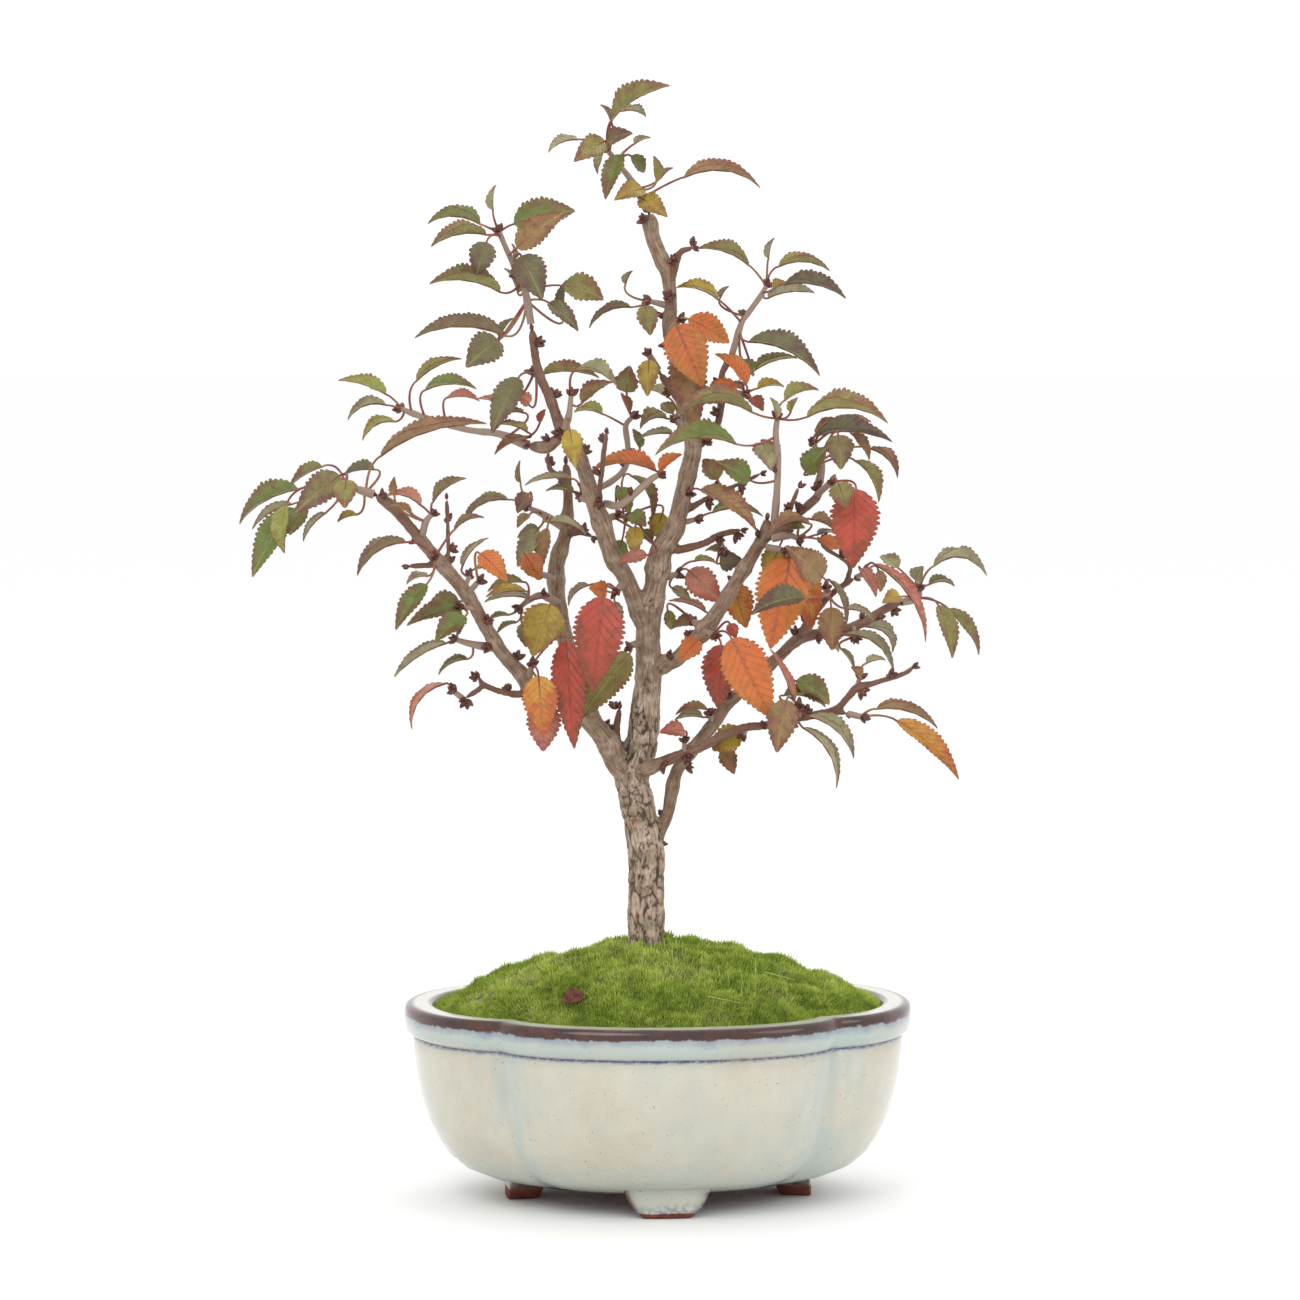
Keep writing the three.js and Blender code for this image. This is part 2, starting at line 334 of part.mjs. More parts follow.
    "leaves": [
      [42, 267, -12, 53.5, 270.5, -8, 30, 1.5, 7], [49.5, 261.5, -18, 76.5, 260, -26, 15, 4, 12],
      [44, 263, -10, 46.5, 268, -6, 40, 0.4, 3.5], [31.5, 263, -18, 5, 261.5, -24, 15, 4.5, 11],
      [26, 252.5, -19, -1, 249.5, -27, 30, 4, 11], [34.5, 253, -10, 37.8, 243.8, -17, 70, 1, 9],
      [39.6, 261, -16, 37.4, 268, -18, 40, 0.6, 3.5], [30.5, 240.5, -16, 19.5, 246.5, -21, 65, 1, 8]] },
  { "name": "leaves_right_up", "slot": "leaf_green",
    "stem": [[53.7, 239.5, -5.5, 1.6], [54.5, 246, -3, 1.1], [52, 252, 0, 0.9]],
    "leaves": [
      [58, 259.5, 4, 71, 260, 12, 0, 1, 4], [52.5, 256, -2, 60, 261, -8, 20, 1, 4],
      [49, 243, -8, 56.5, 251.5, -12, 70, 1, 8], [52, 255, 0, 78, 253, 4, 25, 3, 10],
      [60, 255.5, -8, 61, 244, -12, 85, 1.2, 9], [64.5, 256, 4, 70.5, 247, 8, 40, 1, 5],
      [70.7, 251, 0, 80, 241.4, -6, 20, 2, 6], [65.6, 247, -6, 73.6, 233, -12, 35, 2.5, 7]] },
  { "name": "leaves_right_red", "slot": "leaf_red",
    "stem": [[53, 235.5, -8, 1.2], [57.5, 239.5, -14, 0.9]],
    "leaves": [
      [66, 237.5, -18, 65, 211, -22, 90, 2, 15.5], [60, 239.5, -22, 63, 231, -26, 85, 0.8, 8]] },
  { "name": "leaves_right_fork", "slot": "leaf_green",
    "stem": [[38.5, 221, -13.5, 1.5], [43.5, 222, -16, 1.2], [46.5, 221, -16, 0.9]],
    "leaves": [
      [50.5, 226, -18, 36.5, 221.5, -23, 20, 2.5, 8], [51, 227.5, -10, 59.5, 223, -3, 20, 1, 6],
      [54, 220.5, -12, 61, 217.5, -9, 60, 0.6, 5], [53, 222.3, -6, 60, 223, 1, 10, 0.5, 3],
      [44, 224.5, -18, 49, 224.5, -23, 50, 0.4, 4], [40.5, 218.2, -8, 36, 207.5, -5, 85, 0.8, 8]] },
  { "name": "leaves_right_gold", "slot": "leaf_orange",
    "stem": [[36.5, 218, -13, 1.2], [42, 217, -19, 0.9]],
    "leaves": [
      [44, 215, -19, 37.5, 184, -24, 90, 2.5, 17], [50, 210, -6, 51, 190, -7, 90, 1.5, 9]] },
  { "name": "leaves_right_low", "slot": "leaf_green",
    "stem": [[56.5, 201.5, -2, 1.1], [56, 204.5, -6, 0.9]],
    "leaves": [
      [55, 208, -17, 42.5, 218.3, -33, 75, 1, 10], [49, 201.3, -28, 31, 195.8, -34, 50, 2, 9],
      [57.8, 198, -9, 58.2, 183.5, -13, 88, 1, 9], [57.5, 207, -7, 62.5, 191, -4, 10, 2, 4],
      [63, 197.5, -10, 72, 194, -14, 0, 1, 4]] },
  { "name": "leaves_far_right", "slot": "leaf_green",
    "stem": [[81.2, 199.5, 30, 1.3], [86.7, 201, 34, 1.2], [87.2, 203.5, 34, 0.9]],
    "leaves": [
      [91.8, 211.7, 36, 109.8, 208.5, 44, -5, 5, 8], [90.3, 205.6, 36, 99, 205, 42, 15, 1.5, 5],
      [86, 206.7, 32, 88.5, 211.6, 28, 60, 0.4, 6], [93.6, 198.7, 30, 98.6, 181, 24, 60, 2, 7],
      [97, 197.5, 36, 107.5, 182, 40, 40, 2, 6], [81, 201.5, 26, 75, 199.5, 20, 60, 0.6, 6],
      [80.3, 211, 34, 74, 215, 38, 50, 0.6, 6]] },
  { "name": "leaves_right_twig", "slot": "leaf_red",
    "stem": [[66, 207.8, -2, 1], [69, 209.5, -1, 0.8]],
    "leaves": [
      [72.3, 212.5, -4, 90, 186.8, -10, 25, 4, 6], [67.6, 211, -5, 72.8, 201.3, -10, 50, 1, 5],
      [73.5, 210.5, 3, 74.3, 203, 6, 60, 0.6, 4]] },
  { "name": "leaves_right_under", "slot": "leaf_green",
    "stem": [[65, 191, 16, 1.2], [66, 188, 14, 0.9]],
    "leaves": [
      [70, 191.5, 18, 78.4, 182.8, 24, 10, 3, 7], [62.5, 189, 9, 78.8, 175.2, 5, 0, 4.5, 6],
      [61, 184.3, 12, 65.7, 177, 10, 20, 0.6, 3], [57, 186.5, 16, 60.5, 183, 20, 40, 0.4, 4]] },
  { "name": "leaves_fork_orange", "slot": "leaf_orange",
    "stem": [[15.8, 189.6, -8, 1.4], [18.5, 188.6, -13, 1.1]],
    "leaves": [
      [13.5, 187.3, -12, 7, 179.5, -16, 80, 0.8, 7], [21, 185.5, -15, 20, 164, -18, 90, 1.8, 11.5],
      [24.5, 187.5, -20, 38, 160.6, -25, 90, 2.5, 15], [24, 192.5, -13, 26, 187.5, -15, 80, 0.3, 4]] },
  { "name": "leaves_fork_green", "slot": "leaf_green",
    "stem": [[14.5, 190.5, -4, 1.3], [12, 193, -0.5, 0.9]],
    "leaves": [
      [13, 192.6, 1, 4.6, 190.8, 8, 40, 1, 6], [3.2, 197, 7, 4.5, 190.3, 11, 80, 0.5, 4],
      [16, 196.5, 7, 3.5, 200, 13, 10, 1.2, 4]] },
  { "name": "leaves_fork_gold", "slot": "leaf_orange",
    "stem": [[24, 203, -8, 1.2], [25, 206.5, -4, 0.9]],
    "leaves": [[25, 206, -0.5, 29.5, 191, -2, 88, 1, 10]] },
  { "name": "leaves_leader_right", "slot": "leaf_green",
    "stem": [[3, 208, 0, 1.3], [6, 209, 3, 0.8]],
    "leaves": [
      [10.1, 210.3, 5, 21, 199.5, 3, 85, 1.2, 10], [4.5, 204.5, 4, 11, 200, 7, 60, 0.5, 4],
      [12, 213.5, 7, 20, 212.5, 11, 10, 0.8, 3.5]] },
  { "name": "leaves_leader_brown", "slot": "leaf_orange",
    "stem": [[8, 232, -5, 1.2], [10, 235.5, -9, 0.9]],
    "leaves": [[14, 237.3, -14, 33, 224, -20, 45, 2.5, 9]] },
  { "name": "leaves_leader_olive", "slot": "leaf_green",
    "stem": [[9.5, 226.5, -3, 1.1], [12.5, 227.3, -5, 0.8]],
    "leaves": [[18, 229.7, -6, 35, 228.5, -2, 10, 2, 6]] },
  { "name": "leaves_twig_high", "slot": "leaf_green",
    "stem": [[18.6, 235.9, -1, 0.9], [19, 237.5, -2.5, 0.7]],
    "leaves": [[20, 240.5, -4, 15, 247.5, -1, 70, 0.8, 7]] },
  { "name": "leaves_twig_dark", "slot": "leaf_red",
    "stem": [[20.5, 221, -5, 1], [21.5, 218, -4.5, 0.8]],
    "leaves": [
      [23.5, 216, -2, 15.5, 217, 3, 40, 0.8, 4], [20.5, 212.5, -3, 28, 214, -5, 75, 0.6, 7]] },
  { "name": "leaves_low_right", "slot": "leaf_green",
    "stem": [[47.3, 161.8, -20, 1.1], [47, 164.5, -22, 0.9]],
    "leaves": [
      [45.7, 166.5, -23, 37.3, 184, -28, 30, 0.8, 4], [46, 173.3, -14, 57.5, 165.5, -10, 60, 1.5, 9],
      [42, 168.5, -16, 56, 164.3, -11, 20, 2, 8], [50.5, 161.5, -26, 65.7, 147.4, -32, 20, 3, 8],
      [48.5, 157.7, -24, 60.1, 137.3, -28, 10, 3.5, 6], [43, 167, -25, 39.7, 149.2, -30, 85, 1.5, 10]] },
  { "name": "leaves_low_right_tip", "slot": "leaf_orange",
    "stem": [[63.5, 162.3, -25.2, 1.1], [67.9, 161.2, -26, 0.9]],
    "leaves": [
      [73, 164, -24, 93.6, 157.5, -20, 5, 2.5, 7], [79.8, 160, -28, 101, 140.5, -34, 50, 2.5, 8]] },
  { "name": "leaves_low_right_knot", "slot": "leaf_green",
    "stem": [[66.5, 171, -26, 1.1], [67.3, 174, -26, 0.8]],
    "leaves": [
      [69.5, 179.3, -25, 76, 180.5, -22, 10, 0.5, 4], [68, 174.5, -28, 64.5, 178, -31, 50, 0.4, 4]] },
  { "name": "leaves_low_right_gold", "slot": "leaf_orange",
    "stem": [[29.5, 157.2, -13, 1], [28.8, 155.6, -10, 0.8]],
    "leaves": [
      [28.5, 156.5, -8, 18, 150, -5, 75, 1, 9], [22, 150.5, -3, 25.5, 142, -6, 85, 0.6, 6]] },
  { "name": "leaves_low_right_pink", "slot": "leaf_red",
    "stem": [[9, 149.6, -5.5, 1], [8.8, 152.8, -7, 0.8]],
    "leaves": [[9, 156.5, -8, 0.5, 156, -12, 60, 0.8, 6]] },
  { "name": "leaves_behind_right", "slot": "leaf_green",
    "stem": [[18, 158, 10, 1.2], [17.5, 162, 7, 0.8]],
    "leaves": [
      [16.6, 163.8, 6, 5.8, 162, 3, 25, 1.2, 5], [15, 161.2, 9, 5.5, 160, 13, 20, 1, 5]] },
];

const COLOURS = {
  leaf_green: 0x7f8a3c,
  leaf_orange: 0xd0702a,
  leaf_red: 0xa5433a,
  bark: 0x7d6a5b,
  glaze: 0xe6e0d0,
  moss: 0x8fa62c,
  soil: 0x5a4636,
  screen: 0x2c2f2e,
};

function material(slot, roughness = 0.75) {
  return new THREE.MeshStandardMaterial({ color: COLOURS[slot], roughness, metalness: 0 });
}

// Solids

function toSolid(geometry) {
  const bare = geometry.clone();
  bare.deleteAttribute("normal");
  bare.deleteAttribute("uv");
  const merged = mergeVertices(bare, 1e-4);
  return new wasm.Manifold(new wasm.Mesh({
    numProp: 3,
    vertProperties: new Float32Array(merged.attributes.position.array),
    triVerts: new Uint32Array(merged.index.array),
  }));
}

function toGeometry(solid) {
  const mesh = solid.getMesh();
  const geometry = new THREE.BufferGeometry();
  geometry.setAttribute("position", new THREE.BufferAttribute(mesh.vertProperties, 3));
  geometry.setIndex(new THREE.BufferAttribute(mesh.triVerts, 1));
  geometry.computeVertexNormals();
  return geometry;
}

function join(solids) {
  return solids.reduce((whole, solid) => whole.add(solid));
}

// The piece that holds the most, where a cut leaves scraps
function largest(solid) {
  const pieces = solid.decompose();
  return pieces.reduce((best, piece) => (piece.volume() > best.volume() ? piece : best));
}

function indexed(points, faces) {
  const geometry = new THREE.BufferGeometry();
  geometry.setAttribute("position",
    new THREE.Float32BufferAttribute(points.flatMap((point) => point.toArray()), 3));
  geometry.setIndex(faces.flat());
  return geometry;
}

// Closed skin over a stack of rings, each counter-clockwise seen from the end of the stack
function loft(rings) {
  const count = rings[0].length;
  const points = rings.flat();
  const faces = [];
  for (let ring = 0; ring + 1 < rings.length; ring++) {
    for (let i = 0; i < count; i++) {
      const here = ring * count + i;
      const next = ring * count + ((i + 1) % count);
      faces.push([here, next, next + count], [here, next + count, here + count]);
    }
  }
  const last = (rings.length - 1) * count;
  for (let i = 1; i + 1 < count; i++) {
    faces.push([0, i + 1, i], [last, last + i, last + i + 1]);
  }
  return indexed(points, faces);
}

// Pot

function outline(halfWidth, height) {
  const halfDepth = halfWidth - POT_NARROWER_FRONT_TO_BACK;
  const ring = [];
  for (let i = 0; i < OUTLINE_POINTS; i++) {
    const angle = (i / OUTLINE_POINTS) * 2 * Math.PI;
    const crease = Math.pow(1 - Math.abs(Math.cos(2 * angle)), CREASE_SHARPNESS);
    const reach = 1 - CREASE_DEPTH * crease;
    ring.push(new THREE.Vector3(
      halfWidth * reach * Math.cos(angle), halfDepth * reach * Math.sin(angle), height));
  }
  return ring;
}

// Foot with a curved outer face, drawn in towards the floor
function footSolid(angle) {
  const alongWidth = Math.abs(Math.cos(angle)) > 0.5;
  const middle = alongWidth ? SIDE_FOOT_RADIUS : FRONT_FOOT_RADIUS;
  const rings = FOOT_LEVELS.map(([height, width, thickness]) => {
    const outer = middle + FOOT_LEVELS[0][2] / 2;
    const inner = outer - thickness;
    const turns = [-1, -0.5, 0, 0.5, 1].map((share) => (share * width) / 2 / outer);
    const ring = turns.map((turn) => [outer, turn]).concat([[inner, turns[4]], [inner, turns[0]]]);
    return ring.map(([reach, turn]) => new THREE.Vector3(
      reach * Math.cos(angle + turn), reach * Math.sin(angle + turn), height));
  });
  return toSolid(loft(rings));
}

function drainSolid(side) {
  const drain = new THREE.CylinderGeometry(DRAIN_RADIUS, DRAIN_RADIUS, DRAIN_CUT, 12);
  drain.rotateX(Math.PI / 2);
  drain.translate(side * DRAIN_OFFSET, 0, FLOOR_TOP);
  return toSolid(drain);
}

function potSolid() {
  const wall = loft([...OUTER_WALL, ...INNER_WALL].map(([reach, height]) => outline(reach, height)));
  const feet = [0, 1, 2, 3].map((turn) => footSolid((turn * Math.PI) / 2));
  return join([toSolid(wall), ...feet]).subtract(drainSolid(-1)).subtract(drainSolid(1));
}

function screenSolid(side) {
  let screen = toSolid(new THREE.BoxGeometry(SCREEN_SIZE, SCREEN_SIZE, SCREEN_THICKNESS));
  for (const column of [-0.5, 0.5]) {
    for (const row of [-0.5, 0.5]) {
      const opening = new THREE.BoxGeometry(SCREEN_OPENING, SCREEN_OPENING, 2 * SCREEN_THICKNESS);
      opening.translate(column * SCREEN_PITCH, row * SCREEN_PITCH, 0);
      screen = screen.subtract(toSolid(opening));
    }
  }
  return screen.translate(side * DRAIN_OFFSET, 0, FLOOR_TOP + GAP + SCREEN_THICKNESS / 2);
}

// Soil and moss

// Rings of a mound, from its edge at the pot's wall in to the middle
function moundRings(count, edge, edgeHeight, rise, lump) {
  const rings = [];
  for (let i = 0; i < count; i++) {
    const share = 1 - i / count;
    const ring = outline(edge, 0);
    for (const [index, point] of ring.entries()) {
      point.multiplyScalar(share);
      const turn = (index / OUTLINE_POINTS) * 2 * Math.PI;
      const bump = i === 0 ? 0 : Math.sin(5 * turn + 9 * share) + Math.sin(9 * turn - 23 * share);
      point.z = edgeHeight + rise * (1 - Math.pow(share, MOUND_ROUNDNESS)) + lump * bump;
    }
    rings.push(ring);
  }
  return rings;
}

// Half width of the room inside the wall at a height, with a little clearance
function potInside(height) {
  const wall = [...INNER_WALL].reverse();
  const above = Math.max(1, wall.findIndex(([, level]) => level >= height));
  const [lowReach, lowLevel] = wall[above - 1];
  const [highReach, highLevel] = wall[above];
  const share = Math.max(0, (height - lowLevel) / (highLevel - lowLevel));
  return THREE.MathUtils.lerp(lowReach, highReach, share) - 2 * GAP;
}

function screenPocket(side) {
  const reach = SCREEN_SIZE + 4 * GAP;
  const pocket = new THREE.BoxGeometry(reach, reach, 2 * (SCREEN_THICKNESS + GAP));
  pocket.translate(side * DRAIN_OFFSET, 0, FLOOR_TOP + GAP);
  return toSolid(pocket);
}

function soilSolid(clearOfWood) {
  const levels = [FLOOR_TOP + GAP, INNER_WALL[2][1], INNER_WALL[1][1]];
  const body = toSolid(loft([
    ...levels.map((level) => outline(potInside(level), level)),
    ...moundRings(SOIL_RINGS, potInside(SOIL_EDGE_HEIGHT), SOIL_EDGE_HEIGHT, SOIL_RISE, 0),
  ]));
  return largest(body.subtract(clearOfWood).subtract(screenPocket(-1)).subtract(screenPocket(1)));
}

function mossSolid(clearOfWood) {
  const edge = potInside(POT_HEIGHT - MOSS_BELOW_RIM);
  const under = moundRings(SOIL_RINGS, potInside(SOIL_EDGE_HEIGHT), SOIL_EDGE_HEIGHT + GAP,
    SOIL_RISE, 0);
  const over = moundRings(MOSS_RINGS, edge, MOSS_EDGE_HEIGHT, MOSS_RISE, MOSS_LUMP);
  const layer = toSolid(loft([...under.reverse(), ...over]));
  return largest(layer.subtract(clearOfWood));
}

// Places read from the front

const sightX = Math.cos(SIGHT_TURN);
const sightY = Math.sin(SIGHT_TURN);
const eye = new THREE.Vector3(-sightY, -sightX, 0).multiplyScalar(SIGHT_DISTANCE).setZ(SIGHT_HEIGHT);

// further is how far the point lies behind the depth of what it belongs to
function place(side, up, listedDepth, further = 0) {
  const depth = listedDepth * CROWN_DEPTH + further;
  const spread = (SIGHT_DISTANCE + depth) / SIGHT_DISTANCE;
  const across = side * spread;
  const height = SIGHT_HEIGHT + (up - SIGHT_HEIGHT) * spread;
  return new THREE.Vector3(across * sightX + depth * sightY, depth * sightX - across * sightY, height);
}

// Wood

function limbSolid(route, sides, extra = 0) {
  const points = route.map(([side, up, depth]) => place(side, up, depth));
  let across = new THREE.Vector3(1, 0, 0);
  const rings = points.map((point, i) => {
    const before = points[Math.max(0, i - 1)];
    const after = points[Math.min(points.length - 1, i + 1)];
    const along = after.clone().sub(before).normalize();
    const second = along.clone().cross(across).normalize();
    across = second.clone().cross(along).normalize();
    const radius = route[i][3] + extra;
    const ring = [];
    for (let k = 0; k < sides; k++) {
      const turn = (k / sides) * 2 * Math.PI;
      ring.push(point.clone()
        .addScaledVector(across, radius * Math.cos(turn))
        .addScaledVector(second, radius * Math.sin(turn)));
    }
    return ring;
  });
  return toSolid(loft(rings));
}

function woodSolid(extra = 0) {
  return join(LIMBS.map(([sides, route]) => limbSolid(route, sides, extra)));
}

// Leaves

function toothCount(length) {
  if (length < SHORT_BLADE) return 2;
  return length < LONG_BLADE ? 3 : 4;
}

// Half the blade's width at a share of its length: round near the base, drawn out at the tip
function bladeReach(share) {
  return Math.pow(Math.sin(Math.PI * Math.pow(share, 0.68)), 0.85);
}

// A blade's middle line and the directions across it and up from it
function bladeFrame(leaf) {
  const [baseSide, baseUp, baseDepth, tipSide, tipUp, tipDepth, roll, bow] = leaf;
  const base = place(baseSide, baseUp, baseDepth);
  const tip = place(tipSide, tipUp, baseDepth, tipDepth - baseDepth);
  const length = base.distanceTo(tip);
  const along = tip.clone().sub(base).normalize();
  const toEye = eye.clone().sub(base).normalize();
  toEye.addScaledVector(along, -toEye.dot(along)).normalize();
  const up = toEye.clone().cross(along).normalize();
  if (up.z < 0) up.negate();
  const turn = THREE.MathUtils.degToRad(roll);
  const face = up.multiplyScalar(Math.cos(turn)).addScaledVector(toEye, Math.sin(turn));
  const across = face.clone().cross(along).normalize();
  const middle = (share) => base.clone().lerp(tip, share)
    .addScaledVector(face, 4 * bow * share * (1 - share));
  return { length, along, face, across, middle };
}

// Triangle fan between two lines of point numbers that start and end together
function strip(inner, outer) {
  const faces = [];
  let i = 0;
  let j = 0;
  while (i < inner.length - 1 || j < outer.length - 1) {
    const innerShare = (i + 1) / inner.length;
    const outerShare = (j + 1) / outer.length;
    if (j < outer.length - 1 && (outerShare <= innerShare || i === inner.length - 1)) {
      faces.push([inner[i], outer[j], outer[j + 1]]);
      j++;
    } else {
      faces.push([inner[i], outer[j], inner[i + 1]]);
      i++;
    }
  }
  return faces;
}

// One leaf as a closed skin: a three-sided petiole that runs on into a folded, toothed blade.
// Tooth tips are single points, so the blade thins to its edge there and nowhere else.
function leafSolid(leaf, stem) {
  const { length, along, face, across, middle } = bladeFrame(leaf);
  const [roll, bow, width] = leaf.slice(6);
  const hanging = Math.min(1, Math.abs(roll) / HANGING_ROLL);
  const fold = THREE.MathUtils.degToRad(THREE.MathUtils.lerp(SPREAD_FOLD, HANGING_FOLD, hanging));
  const teeth = toothCount(length);
  const points = [];
  const faces = [];
  const add = (point) => points.push(point) - 1;
  const half = BLADE_THICKNESS / 2 / Math.cos(fold);
  const spot = (share, reach, lift) => middle(share)
    .addScaledVector(across, reach * Math.cos(fold))
    .addScaledVector(face, Math.abs(reach) * Math.sin(fold) + lift);

  // Petiole, from the nearest point of the stem, bent to meet the blade in line
  const base = middle(0);
  const start = nearestOnRoute(leafyStretch(stem), base);
  start.addScaledVector(base.clone().sub(start).normalize(), PETIOLE_OFFSET);
  const slope = middle(0.12).sub(base).normalize();
  const reach = start.distanceTo(base);
  const bend = base.clone().addScaledVector(slope, -PETIOLE_SWEEP * reach);
  const bending = 1 - slope.dot(base.clone().sub(start).normalize());
  const steps = PETIOLE_BENDS.filter((limit) => bending > limit).length
    + (reach > LONG_PETIOLE ? 1 : 0);
  const route = Array.from({ length: steps + 1 }, (_, i) => start.clone()
    .multiplyScalar((1 - i / steps) ** 2)
    .addScaledVector(bend, 2 * (i / steps) * (1 - i / steps))
    .addScaledVector(base, (i / steps) ** 2));
  const out = face.clone().addScaledVector(slope, -face.dot(slope)).normalize();
  const sideways = out.clone().cross(slope);
  const rings = [];
  let heading = slope;
  for (let i = steps; i >= 0; i--) {
    const next = i === steps ? slope : route[i + 1].clone().sub(route[Math.max(0, i - 1)]).normalize();
    const turn = new THREE.Quaternion().setFromUnitVectors(heading, next);
    out.applyQuaternion(turn);
    sideways.applyQuaternion(turn);
    heading = next;
    rings.unshift([0, 1, 2].map((corner) => {
      const angle = (corner * 2 * Math.PI) / 3;
      return add(route[i].clone()
        .addScaledVector(out, PETIOLE_RADIUS * Math.cos(angle))
        .addScaledVector(sideways, PETIOLE_RADIUS * Math.sin(angle)));
    }));
  }
  faces.push([rings[0][0], rings[0][1], rings[0][2]]);
  for (let i = 0; i + 1 < rings.length; i++) {
    for (let k = 0; k < 3; k++) {
      const next = (k + 1) % 3;
      faces.push([rings[i][k], rings[i + 1][k], rings[i + 1][next]],
        [rings[i][k], rings[i + 1][next], rings[i][next]]);
    }
  }
  const [ridge, right, left] = rings[rings.length - 1];

  // Blade: middle line above and below, then the toothed margin on each side
  const tip = add(middle(1));
  const over = [ridge];
  const under = [];
  for (let i = 1; i < teeth; i++) {
    over.push(add(spot((i + 0.1) / teeth, 0, half)));
    under.push(add(spot((i + 0.1) / teeth, 0, -half)));
  }
  faces.push([left, right, under[0]]);
  for (const side of [1, -1]) {
    const heel = side > 0 ? right : left;
    const above = [ridge];
    const below = [heel];
    for (let i = 0; i < teeth; i++) {
      const peak = (i + 0.72) / (teeth + 0.35);
      const point = add(spot(peak, side * width * 0.5 * bladeReach(peak) * 1.06, 0));
      above.push(point);
      below.push(point);
      if (i + 1 < teeth) {
        const dip = (i + 1) / (teeth + 0.35);
        const inset = side * width * 0.5 * bladeReach(dip) * 0.86;
        above.push(add(spot(dip, inset, half)));
        below.push(add(spot(dip, inset, -half)));
      }
    }
    above.push(tip);
    below.push(tip);
    const top = strip([...over, tip], above);
    const bottom = strip([heel, ...under, tip], below);
    const wall = [];
    for (let i = 0; i + 1 < above.length; i++) {
      wall.push([above[i], below[i], below[i + 1]], [above[i], below[i + 1], above[i + 1]]);
    }
    const turned = (list) => list.map(([a, b, c]) => [a, c, b]);
    faces.push(...(side > 0 ? turned(top) : top), ...(side > 0 ? bottom : turned(bottom)),
      ...(side > 0 ? turned(wall) : wall));
  }
  const sound = faces.filter(([a, b, c]) => a !== b && b !== c && c !== a);
  return toSolid(indexed(points, sound));
}

function nearestOnRoute(route, target) {
  let best = null;
  for (let i = 0; i + 1 < route.length; i++) {
    const line = new THREE.Line3(place(...route[i].slice(0, 3)), place(...route[i + 1].slice(0, 3)));
    const spot = line.closestPointToPoint(target, true, new THREE.Vector3());
    if (best === null || spot.distanceTo(target) < best.distanceTo(target)) best = spot;
  }
  return best;
}

// A stem's route, run on at its end and thickened there into a knot of buds
function budded(stem) {
  const [before, end] = stem.slice(-2).map((point) => point.slice(0, 3));
  const span = Math.hypot(...end.map((value, axis) => value - before[axis]));
  const bud = end.map((value, axis) => value + ((value - before[axis]) * BUD_REACH) / span);
  return [...stem.slice(0, -1), [...bud, BUD_RADIUS]];
}

// The stretch of a stem that petioles grow from: all but its root in the wood
function leafyStretch(stem) {
  const [root, next] = stem;
  const clear = root.map((value, i) => THREE.MathUtils.lerp(value, next[i], ROOT_SHARE));
  return [clear, ...stem.slice(1)];
}

function shootSolid(shoot, clearOfWood) {
  const leaves = shoot.leaves.map((leaf) => leafSolid(leaf, shoot.stem));
  const whole = join([limbSolid(budded(shoot.stem), STEM_SIDES), ...leaves]);
  return largest(whole.subtract(clearOfWood));
}

// Assembly

function named(name, geometry, slot, roughness) {
  const mesh = new THREE.Mesh(geometry, material(slot, roughness));
  mesh.name = name;
  return mesh;
}

function build() {
  const bonsai = new THREE.Group();
  const clearOfWood = woodSolid(GAP);
  bonsai.add(named("pot", toGeometry(potSolid()), "glaze", 0.3));
  bonsai.add(named("drain_screen_left", toGeometry(screenSolid(-1)), "screen"));
  bonsai.add(named("drain_screen_right", toGeometry(screenSolid(1)), "screen"));
  bonsai.add(named("soil", toGeometry(soilSolid(clearOfWood)), "soil", 0.95));
  bonsai.add(named("moss", toGeometry(mossSolid(clearOfWood)), "moss", 0.95));
  bonsai.add(named("tree_wood", toGeometry(woodSolid()), "bark", 0.85));
  for (const shoot of SHOOTS) {
    bonsai.add(named(shoot.name, toGeometry(shootSolid(shoot, clearOfWood)), shoot.slot));
  }
  const box = new THREE.Box3().setFromObject(bonsai);
  bonsai.position.set(-(box.min.x + box.max.x) / 2, -(box.min.y + box.max.y) / 2, -box.min.z);
  bonsai.updateMatrixWorld(true);
  return bonsai;
}

export default build();
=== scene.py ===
"""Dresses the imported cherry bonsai: bark, leaves, buds, moss, glazed pot, light and camera.

Lengths are in millimetres: in the tables as read from the front of the tree, and from place()
on in the frame's own axes. MM turns them into Blender's metres.
"""

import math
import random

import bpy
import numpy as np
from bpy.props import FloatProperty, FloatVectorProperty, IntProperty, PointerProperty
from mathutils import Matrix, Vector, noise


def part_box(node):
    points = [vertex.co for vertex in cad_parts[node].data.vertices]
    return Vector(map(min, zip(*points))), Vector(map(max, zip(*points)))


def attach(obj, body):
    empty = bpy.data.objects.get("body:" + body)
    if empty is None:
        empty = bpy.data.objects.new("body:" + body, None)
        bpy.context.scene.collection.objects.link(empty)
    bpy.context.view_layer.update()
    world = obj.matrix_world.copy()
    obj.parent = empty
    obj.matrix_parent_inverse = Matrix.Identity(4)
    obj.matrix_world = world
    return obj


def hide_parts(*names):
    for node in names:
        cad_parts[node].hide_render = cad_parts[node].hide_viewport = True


bl_info = {
    "name": "Autumn Cherry Bonsai",
    "version": (1, 0, 0),
    "blender": (4, 5, 0),
    "location": "View3D > Sidebar > Bonsai",
    "description": "Builds a small cherry tree in autumn leaf, with its moss and glazed pot",
    "category": "Add Mesh",
}

